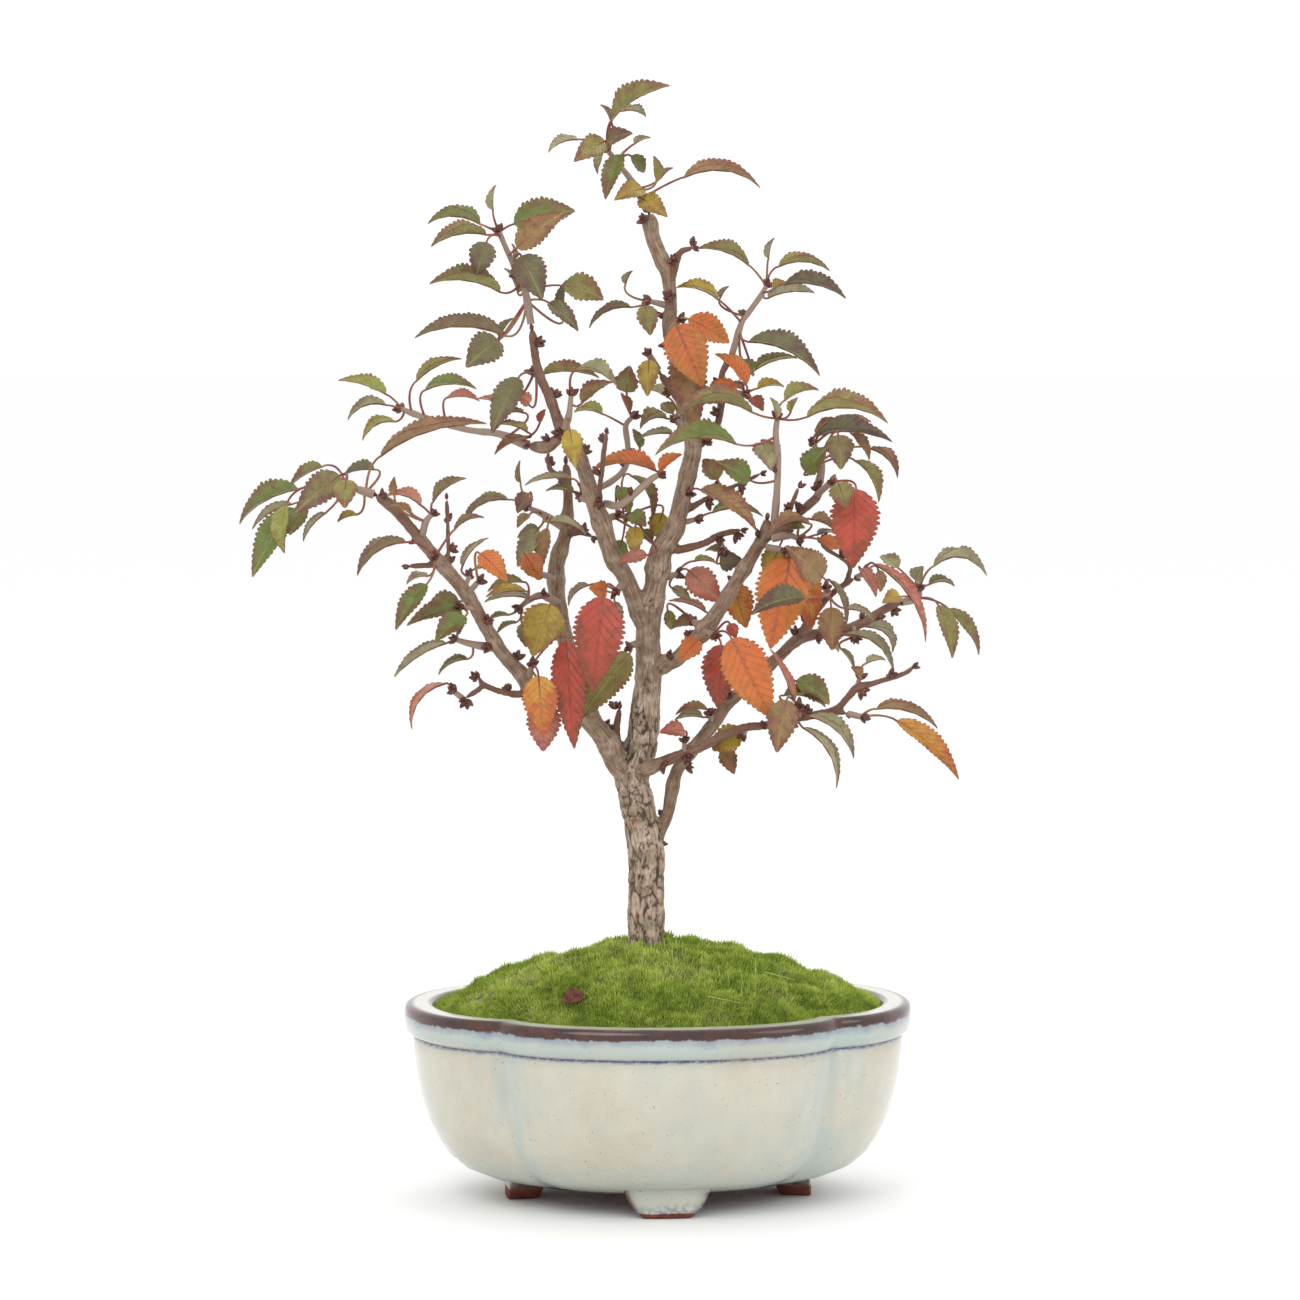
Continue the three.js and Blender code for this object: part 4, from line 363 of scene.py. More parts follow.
      [86, 206.7, 32, 88.5, 211.6, 28, 60, 0.4, 6], [93.6, 198.7, 30, 98.6, 181, 24, 60, 2, 7],
      [97, 197.5, 36, 107.5, 182, 40, 40, 2, 6], [81, 201.5, 26, 75, 199.5, 20, 60, 0.6, 6],
      [80.3, 211, 34, 74, 215, 38, 50, 0.6, 6]]),
  ("leaves_right_twig", "leaf_red", "kkb",
    [[66, 207.8, -2, 1], [69, 209.5, -1, 0.8]],
    [
      [72.3, 212.5, -4, 90, 186.8, -10, 25, 4, 6], [67.6, 211, -5, 72.8, 201.3, -10, 50, 1, 5],
      [73.5, 210.5, 3, 74.3, 203, 6, 60, 0.6, 4]]),
  ("leaves_right_under", "leaf_green", "pppl",
    [[65, 191, 16, 1.2], [66, 188, 14, 0.9]],
    [
      [70, 191.5, 18, 78.4, 182.8, 24, 10, 3, 7], [62.5, 189, 9, 78.8, 175.2, 5, 0, 4.5, 6],
      [61, 184.3, 12, 65.7, 177, 10, 20, 0.6, 3], [57, 186.5, 16, 60.5, 183, 20, 40, 0.4, 4]]),
  ("leaves_fork_orange", "leaf_orange", "OrOr",
    [[15.8, 189.6, -8, 1.4], [18.5, 188.6, -13, 1.1]],
    [
      [13.5, 187.3, -12, 7, 179.5, -16, 80, 0.8, 7], [21, 185.5, -15, 20, 164, -18, 90, 1.8, 11.5],
      [24.5, 187.5, -20, 38, 160.6, -25, 90, 2.5, 15], [24, 192.5, -13, 26, 187.5, -15, 80, 0.3, 4]]),
  ("leaves_fork_green", "leaf_green", "blk",
    [[14.5, 190.5, -4, 1.3], [12, 193, -0.5, 0.9]],
    [
      [13, 192.6, 1, 4.6, 190.8, 8, 40, 1, 6], [3.2, 197, 7, 4.5, 190.3, 11, 80, 0.5, 4],
      [16, 196.5, 7, 3.5, 200, 13, 10, 1.2, 4]]),
  ("leaves_fork_gold", "leaf_orange", "a",
    [[24, 203, -8, 1.2], [25, 206.5, -4, 0.9]],
    [[25, 206, -0.5, 29.5, 191, -2, 88, 1, 10]]),
  ("leaves_leader_right", "leaf_green", "kpl",
    [[3, 208, 0, 1.3], [6, 209, 3, 0.8]],
    [
      [10.1, 210.3, 5, 21, 199.5, 3, 85, 1.2, 10], [4.5, 204.5, 4, 11, 200, 7, 60, 0.5, 4],
      [12, 213.5, 7, 20, 212.5, 11, 10, 0.8, 3.5]]),
  ("leaves_leader_brown", "leaf_orange", "b",
    [[8, 232, -5, 1.2], [10, 235.5, -9, 0.9]],
    [[14, 237.3, -14, 33, 224, -20, 45, 2.5, 9]]),
  ("leaves_leader_olive", "leaf_green", "g",
    [[9.5, 226.5, -3, 1.1], [12.5, 227.3, -5, 0.8]],
    [[18, 229.7, -6, 35, 228.5, -2, 10, 2, 6]]),
  ("leaves_twig_high", "leaf_green", "o",
    [[18.6, 235.9, -1, 0.9], [19, 237.5, -2.5, 0.7]],
    [[20, 240.5, -4, 15, 247.5, -1, 70, 0.8, 7]]),
  ("leaves_twig_dark", "leaf_red", "od",
    [[20.5, 221, -5, 1], [21.5, 218, -4.5, 0.8]],
    [
      [23.5, 216, -2, 15.5, 217, 3, 40, 0.8, 4], [20.5, 212.5, -3, 28, 214, -5, 75, 0.6, 7]]),
  ("leaves_low_right", "leaf_green", "kgoppb",
    [[47.3, 161.8, -20, 1.1], [47, 164.5, -22, 0.9]],
    [
      [45.7, 166.5, -23, 37.3, 184, -28, 30, 0.8, 4], [46, 173.3, -14, 57.5, 165.5, -10, 60, 1.5, 9],
      [42, 168.5, -16, 56, 164.3, -11, 20, 2, 8], [50.5, 161.5, -26, 65.7, 147.4, -32, 20, 3, 8],
      [48.5, 157.7, -24, 60.1, 137.3, -28, 10, 3.5, 6], [43, 167, -25, 39.7, 149.2, -30, 85, 1.5, 10]]),
  ("leaves_low_right_tip", "leaf_orange", "ba",
    [[63.5, 162.3, -25.2, 1.1], [67.9, 161.2, -26, 0.9]],
    [
      [73, 164, -24, 93.6, 157.5, -20, 5, 2.5, 7], [79.8, 160, -28, 101, 140.5, -34, 50, 2.5, 8]]),
  ("leaves_low_right_knot", "leaf_green", "pb",
    [[66.5, 171, -26, 1.1], [67.3, 174, -26, 0.8]],
    [
      [69.5, 179.3, -25, 76, 180.5, -22, 10, 0.5, 4], [68, 174.5, -28, 64.5, 178, -31, 50, 0.4, 4]]),
  ("leaves_low_right_gold", "leaf_orange", "yb",
    [[29.5, 157.2, -13, 1], [28.8, 155.6, -10, 0.8]],
    [
      [28.5, 156.5, -8, 18, 150, -5, 75, 1, 9], [22, 150.5, -3, 25.5, 142, -6, 85, 0.6, 6]]),
  ("leaves_low_right_pink", "leaf_red", "k",
    [[9, 149.6, -5.5, 1], [8.8, 152.8, -7, 0.8]],
    [[9, 156.5, -8, 0.5, 156, -12, 60, 0.8, 6]]),
  ("leaves_behind_right", "leaf_green", "bp",
    [[18, 158, 10, 1.2], [17.5, 162, 7, 0.8]],
    [
      [16.6, 163.8, 6, 5.8, 162, 3, 25, 1.2, 5], [15, 161.2, 9, 5.5, 160, 13, 20, 1, 5]]),
]

# Leaf colours by letter: (main, second, underside), as sRGB shares
LEAF_COLOURS = {
    "g": ((0.41, 0.47, 0.20), (0.46, 0.33, 0.21), (0.53, 0.53, 0.32)),
    "o": ((0.51, 0.48, 0.24), (0.49, 0.32, 0.22), (0.57, 0.54, 0.34)),
    "l": ((0.59, 0.61, 0.26), (0.58, 0.43, 0.25), (0.63, 0.65, 0.38)),
    "p": ((0.57, 0.56, 0.39), (0.50, 0.38, 0.31), (0.66, 0.64, 0.50)),
    "m": ((0.50, 0.45, 0.27), (0.44, 0.29, 0.25), (0.52, 0.45, 0.34)),
    "d": ((0.39, 0.37, 0.23), (0.36, 0.24, 0.20), (0.44, 0.39, 0.29)),
    "b": ((0.57, 0.44, 0.27), (0.48, 0.28, 0.20), (0.62, 0.50, 0.36)),
    "y": ((0.66, 0.56, 0.19), (0.56, 0.40, 0.18), (0.70, 0.63, 0.34)),
    "r": ((0.66, 0.25, 0.17), (0.52, 0.24, 0.14), (0.66, 0.36, 0.28)),
    "O": ((0.74, 0.38, 0.16), (0.70, 0.42, 0.15), (0.76, 0.46, 0.26)),
    "a": ((0.76, 0.52, 0.18), (0.70, 0.34, 0.16), (0.78, 0.58, 0.31)),
    "k": ((0.72, 0.47, 0.38), (0.64, 0.33, 0.28), (0.75, 0.56, 0.46)),
}

# Wall of the pot, from its underside up to the rim and from the rim down, as [half width, height]
POT_OUTSIDE = [[51, 6.5], [58.5, 8.3], [66, 11.6], [70.6, 15.6], [74, 20.7], [77, 26.8],
    [79.3, 34], [81, 42], [82, 50], [82.2, 54.6], [81.7, 55.2], [83.2, 55.9], [84.5, 57],
    [85, 59.6], [85, 63.4], [84.6, 64.9], [83.6, 65.6]]
POT_INSIDE = [[82.9, 65.72], [82.2, 65.7], [81.4, 65.7], [77.6, 65.7], [76.6, 65.6], [75.6, 65],
    [75.3, 63.6], [74, 50], [68, 25], [54, 12.6]]
POT_SIDES = 160
DRAIN_RADIUS, DRAIN_OFFSET, DRAIN_MIDDLE = 6, 24, 10

# Where the colour changes: the ledge, with painted light on its top, the burnt line at the inner rim,
# the border between outside and inside as [height, half width], and the bare middle of the underside
LEDGE_WIDTH, LEDGE_HEIGHT = 83.2, 65.4
RIM_LINE_WIDTH, RIM_LINE_LOW, RIM_LINE_HIGH = 78, 64.2, 65.65
INSIDE_BORDER = [[12.6, 56], [25, 70], [50, 76], [63.6, 81.6], [65.7, 81.8]]
INSIDE_BLEND = 1.2
UNDERSIDE_HEIGHT = 12
BARE_HEIGHT, BARE_SHARE = 12.3, 0.5

# Feet, as [height, width, thickness], and how far from the pot's axis the outer faces of the
# two at the sides and of the two at the front and back are
FOOT_LEVELS = [[0, 14.6, 10], [0.8, 17.6, 10.4], [2.2, 21, 11], [3.8, 23.8, 11.5], [6, 26.8, 12],
    [10, 30.4, 12.5]]
FOOT_OUTER = (51.5, 46)

MOSS_EDGE, MOSS_EDGE_HEIGHT, MOSS_RISE = 73.9, 64.2, 21.5
MOSS_SIDES, MOSS_RINGS = 128, 44
TRUNK_CLEARANCE = 6.5
TUFT_FIBRES, FIBRE_RADIUS, FIBRE_LEAN = 5, 0.34, math.radians(34)
TUFT_SINK = 0.9

# On the moss: fallen stalks, as side, share of the way forward, heading and length, pebbles, as
# side, share and size, and a dead leaf, listed like those of the shoots
STALK_COUNT = 26
FALLEN_STALKS = ((34, -0.42, (1, -0.4, -0.24), 11), (12, -0.80, (1, -0.5, -0.15), 12),
                 (-30, -0.35, (-0.6, -0.7, -0.3), 7))
PEBBLES = ((-60, -0.25, 1.5), (-56, -0.32, 1.1), (-63, -0.12, 1.2), (-50, -0.2, 0.9),
           (40, -0.3, 0.9), (-20, -0.55, 0.8))
DEAD_LEAF_DEPTH = -42.6 / CROWN_DEPTH
DEAD_LEAF = (-32, 65.5, DEAD_LEAF_DEPTH, -23.5, 67, DEAD_LEAF_DEPTH + 0.4, 52, 0.3, 6)

# Radius at which bark plates start, and over how much more they become full
PLATES_FROM, PLATES_OVER = 3.6, 1.6

# How far from a limb its bark is looked for, and how much the pattern moves on for the next limb
BARK_REACH, BARK_SHIFT = 12, 37

# The three points of a tooth: how far out each stands, and its shift along the edge in rows
LARGE_TOOTH, SMALL_TOOTH = (0.88, 1.04, 1.07), (0.90, 1.01, 1.03)
TOOTH_SHIFT = (0.20, 0.12, 0.32)

# Where the columns of a blade's half lie, from the midrib out
BLADE_COLUMNS = (0, 0.36, 0.72, 1.0)

# How far the halves of a blade are folded up, in degrees, where it is spread and where it hangs
SPREAD_FOLD, HANGING_FOLD = 46, 13.6

# Lamps: place in metres, width, and share of the lamp power
LAMPS = {"key": ((-0.55, -1.1, 1.25), 0.9, 1), "fill": ((1.0, -0.7, 0.7), 0.7, 0.35),
         "top": ((0.1, 0.5, 1.5), 0.9, 0.6)}


def srgb(red, green, blue):
    """The linear colour of an sRGB one."""
    return tuple(((c + 0.055) / 1.055) ** 2.4 if c > 0.04045 else c / 12.92
                 for c in (red, green, blue))


def rgba(colour):
    return (*srgb(*colour[:3]), 1)


# Places read from the front, in millimetres

EYE = np.array([POT_X - math.sin(SIGHT_TURN) * SIGHT_DISTANCE,
                POT_Y - math.cos(SIGHT_TURN) * SIGHT_DISTANCE, SIGHT_HEIGHT])


def place(side, up, listed_depth, further=0):
    """The point seen at side and up in the front view, at a depth behind the trunk."""
    depth = listed_depth * CROWN_DEPTH + further
    spread = (SIGHT_DISTANCE + depth) / SIGHT_DISTANCE
    across = side * spread
    return np.array([
        POT_X + across * math.cos(SIGHT_TURN) + depth * math.sin(SIGHT_TURN),
        POT_Y + depth * math.cos(SIGHT_TURN) - across * math.sin(SIGHT_TURN),
        SIGHT_HEIGHT + (up - SIGHT_HEIGHT) * spread])


def unit(vector):
    return vector / np.linalg.norm(vector)


def smooth_route(route, step):
    """A limb's route as a smooth curve: rows of x, y, z, radius about step apart."""
    knots = np.array([[*place(*point[:3]), point[3]] for point in route])
    if len(knots) == 2:
        knots = np.array([knots[0], knots.mean(0), knots[1]])
    padded = np.vstack([2 * knots[0] - knots[1], knots, 2 * knots[-1] - knots[-2]])
    rows = []
    for i in range(1, len(padded) - 2):
        before, here, there, after = padded[i - 1:i + 3]
        count = max(1, int(np.linalg.norm(there[:3] - here[:3]) / step))
        for t in np.arange(count) / count:
            rows.append(0.5 * (2 * here + (there - before) * t
                               + (2 * before - 5 * here + 4 * there - after) * t ** 2
                               + (3 * here - before - 3 * there + after) * t ** 3))
    rows.append(knots[-1])
    rows = np.array(rows)
    rows[:, 3] = np.maximum(rows[:, 3], 0.3)
    return rows


def nearest_on(rows, target):
    """The point of a route's straight stretches that is nearest to the target."""
    best = None
    for start, end in zip(rows, rows[1:]):
        run = end - start
        share = np.clip(np.dot(target - start, run) / np.dot(run, run), 0, 1)
        spot = start + run * share
        if best is None or np.linalg.norm(spot - target) < np.linalg.norm(best - target):
            best = spot
    return best


def lengths_along(rows):
    """How far along its route each row is."""
    return np.concatenate([[0], np.cumsum(np.linalg.norm(np.diff(rows[:, :3], axis=0), axis=1))])


# Modelling helpers

def deselect():
    if bpy.context.mode != "OBJECT":
        bpy.ops.object.mode_set(mode="OBJECT")
    bpy.ops.object.select_all(action="DESELECT")


def solo(obj):
    """Makes obj the one selected and active object."""
    deselect()
    obj.select_set(True)
    bpy.context.view_layer.objects.active = obj


def added(operator, **settings):
    """What an operator adds, with everything else deselected first."""
    deselect()
    operator(**settings)
    return bpy.context.object


def modify(obj, kind, **settings):
    """Adds a modifier and applies it."""
    solo(obj)
    bpy.ops.object.modifier_add(type=kind)
    modifier = obj.modifiers[-1]
    for name, value in settings.items():
        setattr(modifier, name, value)
    bpy.ops.object.modifier_apply(modifier=modifier.name)


def points_of(obj):
    """The mesh's points in millimetres."""
    spots = np.zeros(len(obj.data.vertices) * 3)
    obj.data.vertices.foreach_get("co", spots)
    return spots.reshape(-1, 3) / MM


def set_points(obj, spots):
    obj.data.vertices.foreach_set("co", (np.asarray(spots) * MM).ravel())
    obj.data.update()


def pick(obj, test):
    """Selects the mesh's points that pass the test, in edit mode."""
    bpy.ops.object.mode_set(mode="OBJECT")
    for part in (*obj.data.vertices, *obj.data.edges, *obj.data.polygons):
        part.select = False
    for vertex in obj.data.vertices:
        vertex.select = bool(test(vertex.co / MM))
    bpy.ops.object.mode_set(mode="EDIT")


def edit_whole():
    """Opens the active mesh in edit mode, all of it selected."""
    bpy.ops.object.mode_set(mode="EDIT")
    bpy.ops.mesh.select_all(action="SELECT")


def close_outwards():
    """Turns all faces of the open mesh outwards and leaves edit mode."""
    bpy.ops.mesh.select_all(action="SELECT")
    bpy.ops.mesh.normals_make_consistent(inside=False)
    bpy.ops.object.mode_set(mode="OBJECT")


def raise_edges(height):
    bpy.ops.mesh.extrude_edges_move(TRANSFORM_OT_translate={"value": (0, 0, height * MM)})


def resize(x, y):
    """Scales what is selected, sideways only, about the origin."""
    bpy.ops.transform.resize(value=(x, y, 1), center_override=(0, 0, 0))


def settle(obj):
    """Puts the object's place into its mesh."""
    solo(obj)
    bpy.ops.object.transform_apply(location=True, rotation=True, scale=True)


def join(objs, name):
    deselect()
    for obj in objs:
        obj.select_set(True)
    bpy.context.view_layer.objects.active = objs[0]
    if len(objs) > 1:
        bpy.ops.object.join()
    objs[0].name = name
    objs[0].data.name = name
    return objs[0]


def mesh_object(name, points, faces):
    """A piece from points in millimetres, for shapes that no primitive gives."""
    mesh = bpy.data.meshes.new(name)
    mesh.from_pydata((np.asarray(points) * MM).tolist(), [], faces)
    obj = bpy.data.objects.new(name, mesh)
    bpy.context.scene.collection.objects.link(obj)
    return obj


def copies(model, name, spots):
    """One piece made of the model's mesh, set down once for each array of points in spots."""
    faces = [tuple(face.vertices) for face in model.data.polygons]
    count = len(model.data.vertices)
    every = [tuple(i + count * n for i in face) for n in range(len(spots)) for face in faces]
    return mesh_object(name, np.concatenate(spots), every)


def paint_points(obj, name, values):
    """Stores a number, a vector or a colour for each point of the mesh."""
    values = np.asarray(values, dtype=float)
    kind, key = {1: ("FLOAT", "value"), 3: ("FLOAT_VECTOR", "vector"),
                 4: ("FLOAT_COLOR", "color")}[values.size // len(values)]
    obj.data.attributes.new(name, kind, "POINT").data.foreach_set(key, values.ravel())


def round_off(obj, degrees):
    solo(obj)
    bpy.ops.object.shade_smooth_by_angle(angle=math.radians(degrees))


def finish_piece(obj, slot, materials, *nodes):
    """Gives the piece its materials and ties it to the CAD body and the nodes it stands for."""
    if not obj.data.materials:
        for material in materials:
            obj.data.materials.append(material)
    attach(obj, "root")
    if nodes:
        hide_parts(*nodes)


def clear_away(*objs):
    for obj in objs:
        bpy.data.objects.remove(obj)


def turned(spots, heading, twist):
    """Points modelled about +Z, turned to face along heading after a twist about their own axis."""
    axis = unit(np.asarray(heading, dtype=float))
    side = unit(np.cross(axis, [0.31, 0.87, 0.4] if abs(axis[0]) < 0.9 else [0, 1, 0.2]))
    other = np.cross(axis, side)
    along_x = side * math.cos(twist) + other * math.sin(twist)
    along_y = np.cross(axis, along_x)
    return spots @ np.array([along_x, along_y, axis])


# Materials

class Socket:
    """An output socket. Arithmetic on it adds Math nodes to its material."""

    def __init__(self, finish, socket):
        self.finish = finish
        self.socket = socket

    def math(self, operation, *values):
        return self.finish.node("ShaderNodeMath", {"operation": operation}, dict(enumerate(values)))

    def __add__(self, other):
        return self.math("ADD", self, other)

    __radd__ = __add__

    def __sub__(self, other):
        return self.math("SUBTRACT", self, other)

    def __rsub__(self, other):
        return self.math("SUBTRACT", other, self)

    def __mul__(self, other):
        return self.math("MULTIPLY", self, other)

    __rmul__ = __mul__

    def __abs__(self):
        return self.math("ABSOLUTE", self)

    def within(self, low, high):
        """0 below low, 1 above high, and smooth between."""
        return self.finish.node("ShaderNodeMapRange", {"interpolation_type": "SMOOTHSTEP"},
                                {0: self, 1: low, 2: high})

    def near(self, middle, reach):
        """1 at the middle value, falling smoothly to 0 a reach away on either side."""
        return 1 - abs(self - middle).within(0, reach)


class Finish:
    """A material being made: a Principled shader and the nodes that feed it."""

    def __init__(self, name, constants=()):
        self.material = bpy.data.materials.new(name)
        self.material.use_nodes = True
        self.tree = self.material.node_tree
        self.shader = self.tree.nodes["Principled BSDF"]
        for socket, value in dict(constants).items():
            self.shader.inputs[socket].default_value = value

    def node(self, kind, settings=None, inputs=None, output=0):
        """Adds a node: its settings first, then its sockets' values or links. Gives one output."""
        made = self.tree.nodes.new(kind)
        for name, value in (settings or {}).items():
            if name == "stops":
                self.set_stops(made.color_ramp, value)
            else:
                setattr(made, name, value)
        for key, value in (inputs or {}).items():
            socket = made.inputs[key]
            if isinstance(value, Socket):
                self.tree.links.new(value.socket, socket)
            else:
                socket.default_value = value
        return Socket(self, made.outputs[output])

    def set_stops(self, ramp, stops):
        while len(ramp.elements) < len(stops):
            ramp.elements.new(1)
        for element, (position, colour) in zip(ramp.elements, stops):
            element.position = position
            element.color = colour

    def place(self):
        """Where the surface is, in metres."""
        return self.node("ShaderNodeTexCoord", output="Object")

    def attribute(self, name, output="Vector"):
        return self.node("ShaderNodeAttribute", {"attribute_name": name}, output=output)

    def parts(self, vector):
        split = self.node("ShaderNodeSeparateXYZ", inputs={0: vector})
        node = split.socket.node
        return [Socket(self, node.outputs[i]) for i in range(3)]

    def scaled(self, vector, factors):
        return self.node("ShaderNodeVectorMath", {"operation": "MULTIPLY"}, {0: vector, 1: factors})

    def noise(self, vector, scale, detail, rough=0.5):
        return self.node("ShaderNodeTexNoise", None,
                         {"Vector": vector, "Scale": scale, "Detail": detail, "Roughness": rough})

    def cells(self, vector, scale):
        return self.node("ShaderNodeTexVoronoi", None, {"Vector": vector, "Scale": scale}, "Distance")

    def mix(self, factor, first, second):
        """Second over first, by factor."""
        return self.node("ShaderNodeMix", {"data_type": "RGBA"}, {0: factor, 6: first, 7: second},
                         output=2)

    def ramp(self, value, *stops):
        return self.node("ShaderNodeValToRGB", {"stops": [(at, rgba(c)) for at, c in stops]},
                         {0: value})

    def feed(self, socket, value):
        self.tree.links.new(value.socket, self.shader.inputs[socket])

    def bump(self, height, strength, depth_mm):
        self.feed("Normal", self.node("ShaderNodeBump", None,
                  {"Strength": strength, "Distance": depth_mm * MM, "Height": height}))


def bark_material(look):
    """Flaky plates on the thick wood, fine lengthwise lines and lenticels on the thin."""
    made = Finish("bark", {"Roughness": 0.82})
    spot = made.attribute("bark_place")
    radius = made.attribute("bark_radius", "Fac")
    groove = made.attribute("bark_groove", "Fac")
    thick = radius.within(PLATES_FROM, PLATES_FROM + PLATES_OVER)
    lines = made.noise(made.scaled(spot, (1.6, 1.6, 0.16)), 1.0, 4, 0.6)
    mottle = made.noise(spot, 0.35, 3, 0.6)
    fine = made.noise(spot, 2.6, 3, 0.7)
    plate = made.ramp(lines * 0.55 + mottle * 0.45,
                      (0.34, (0.42, 0.33, 0.26)), (0.46, look.bark_colour),
                      (0.56, (0.74, 0.66, 0.58)), (0.68, (0.82, 0.76, 0.70)))
    twig = made.ramp(lines * 0.6 + mottle * 0.4,
                     (0.34, (0.36, 0.27, 0.21)), (0.48, look.twig_colour),
                     (0.66, (0.68, 0.60, 0.51)))
    young = 1 - radius.within(1.3, 3.0)
    twig = made.mix(young * 0.8, twig, rgba((0.42, 0.27, 0.21)))
    olive = made.noise(spot, 0.16, 2)
    plate = made.mix(olive.within(0.48, 0.62) * 0.5, plate, rgba((0.46, 0.42, 0.29)))
    colour = made.mix(thick, twig, plate)
    rust = made.noise(made.scaled(spot, (0.26, 0.26, 0.2)), 1.0, 2, 0.5)
    colour = made.mix(rust.within(0.63, 0.69) * 0.85 * thick, colour, rgba((0.50, 0.25, 0.15)))
    band = made.noise(made.scaled(spot, (0.35, 0.35, 1.7)), 1.0, 2)
    colour = made.mix(band.within(0.62, 0.70) * 0.45 * (1 - thick), colour, rgba((0.56, 0.38, 0.26)))
    colour = made.mix(groove.within(0.25, 0.9) * 0.85, colour, rgba((0.17, 0.11, 0.085)))
    colour = made.mix(fine.within(0.55, 0.75) * 0.35, colour, rgba((0.20, 0.14, 0.11)))
    made.feed("Base Color", colour)
    made.bump(lines * 0.7 + fine * 0.5, 0.7, 0.5)
    return made.material


def patchy(name, roughness, scale, detail, *stops, relief=0):
    """A material whose colour wanders through a few tones, with some relief to go with it."""
    made = Finish(name, {"Roughness": roughness})
    patch = made.noise(made.place(), scale, detail)
    made.feed("Base Color", made.ramp(patch, *stops))
    if relief:
        made.bump(patch, relief, 0.3)
    return made.material


def stalk_material():
    """Leaf stalks: red, greener in places."""
    return patchy("leaf stalk", 0.45, 140, 2, (0.35, (0.44, 0.17, 0.15)), (0.50, (0.54, 0.27, 0.22)),
                  (0.66, (0.56, 0.42, 0.25)))


def bud_material():
    return patchy("bud scales", 0.5, 900, 3, (0.35, (0.22, 0.10, 0.08)), (0.52, (0.36, 0.18, 0.14)),
                  (0.70, (0.52, 0.31, 0.24)), relief=0.5)


def leaf_material(name, vein_colour):
    """A blade: two colours from its points, side veins, a tinged edge, specks and a paler back."""
    made = Finish(name)
    spot = made.attribute("leaf_place")
    across, along, edge = made.parts(spot)
    main = made.attribute("leaf_main", "Color")
    under = made.attribute("leaf_main", "Alpha")
    second = made.attribute("leaf_second", "Color")
    where = made.place()
    blotch = made.noise(where, 210, 3, 0.6)
    cloud = made.noise(where, 75, 2)
    turn = made.node("ShaderNodeMath", {"operation": "FRACT"},
                     {0: (along - abs(across) * 0.27) * 9.5})
    vein = 1 - abs(turn - 0.5).within(0.0, 0.13)
    midrib = 1 - abs(across).within(0.02, 0.09)
    tinge = (edge * 0.35 + along * 0.4 + blotch * 0.9 + cloud * 0.8).within(1.05, 1.5)
    colour = made.mix(tinge * (1 - under * 0.6), main, second)
    light = made.mix(0.5, colour, rgba(vein_colour))
    colour = made.mix(vein * 0.30 + midrib * 0.45, colour, light)
    rim = edge.within(0.86, 1.0)
    colour = made.mix(rim * 0.45, colour, rgba((0.40, 0.16, 0.10)))
    speck = made.noise(where, 1500, 2)
    colour = made.mix(speck.within(0.66, 0.72) * 0.55, colour, rgba((0.17, 0.08, 0.06)))
    shade = made.noise(where, 420, 3, 0.6)
    colour = made.mix(shade.within(0.4, 0.7) * 0.22, colour, rgba((0.20, 0.15, 0.09)))
    made.feed("Base Color", colour)
    made.feed("Roughness", 0.40 + under * 0.22 + blotch * 0.12)
    relief = (1 - under) * 2 - 1
    made.bump((1 - vein * 0.8 - midrib) * relief + shade * 0.3, 0.55, 0.35)
    return made.material


def moss_material(name, deep):
    """Green fibres, yellower in patches, with painted shade as strong as deep: darker towards their roots
    and in the hollows between clumps.
    """
    made = Finish(name, {"Roughness": 0.8})
    where = made.place()
    patch = made.noise(where, 42, 3, 0.6)
    fine = made.noise(where, 900, 2)
    # Painted light read from the points: 1 on lit fibre tips and raised clumps, down to 0 in painted shade
    lift = made.attribute("moss_lift", "Fac")
    colour = made.ramp(patch * 0.72 + fine * 0.28,
                       (0.34, (0.52, 0.62, 0.19)), (0.46, (0.70, 0.79, 0.29)),
                       (0.56, (0.82, 0.88, 0.40)), (0.70, (0.90, 0.91, 0.58)))
    # Painted shade: darker green towards the roots and in the hollows
    colour = made.mix((1 - lift) * deep, colour, rgba((0.25, 0.33, 0.09)))
    made.feed("Base Color", colour)
    return made.material


def straw_material():
    return patchy("dry stalk", 0.6, 300, 2, (0.35, (0.62, 0.66, 0.34)), (0.65, (0.74, 0.78, 0.48)))


def grit_material():
    return patchy("grit", 0.85, 500, 3, (0.35, (0.33, 0.31, 0.28)), (0.65, (0.62, 0.60, 0.56)))


def dead_leaf_material():
    return patchy("dead leaf", 0.7, 500, 3, (0.35, (0.26, 0.12, 0.08)), (0.65, (0.44, 0.22, 0.14)))


def screen_material():
    return patchy("drain screen", 0.55, 260, 2, (0.3, (0.10, 0.10, 0.10)), (0.7, (0.17, 0.17, 0.16)))


def soil_material():
    made = Finish("soil", {"Roughness": 0.95})
    where = made.place()
    crumb = made.cells(where, 420)
    patch = made.noise(where, 160, 3)
    made.feed("Base Color", made.ramp(patch * 0.6 + crumb * 0.4, (0.2, (0.12, 0.085, 0.06)),
                                      (0.6, (0.30, 0.22, 0.16))))
    made.bump(crumb, 0.8, 1.0)
    return made.material


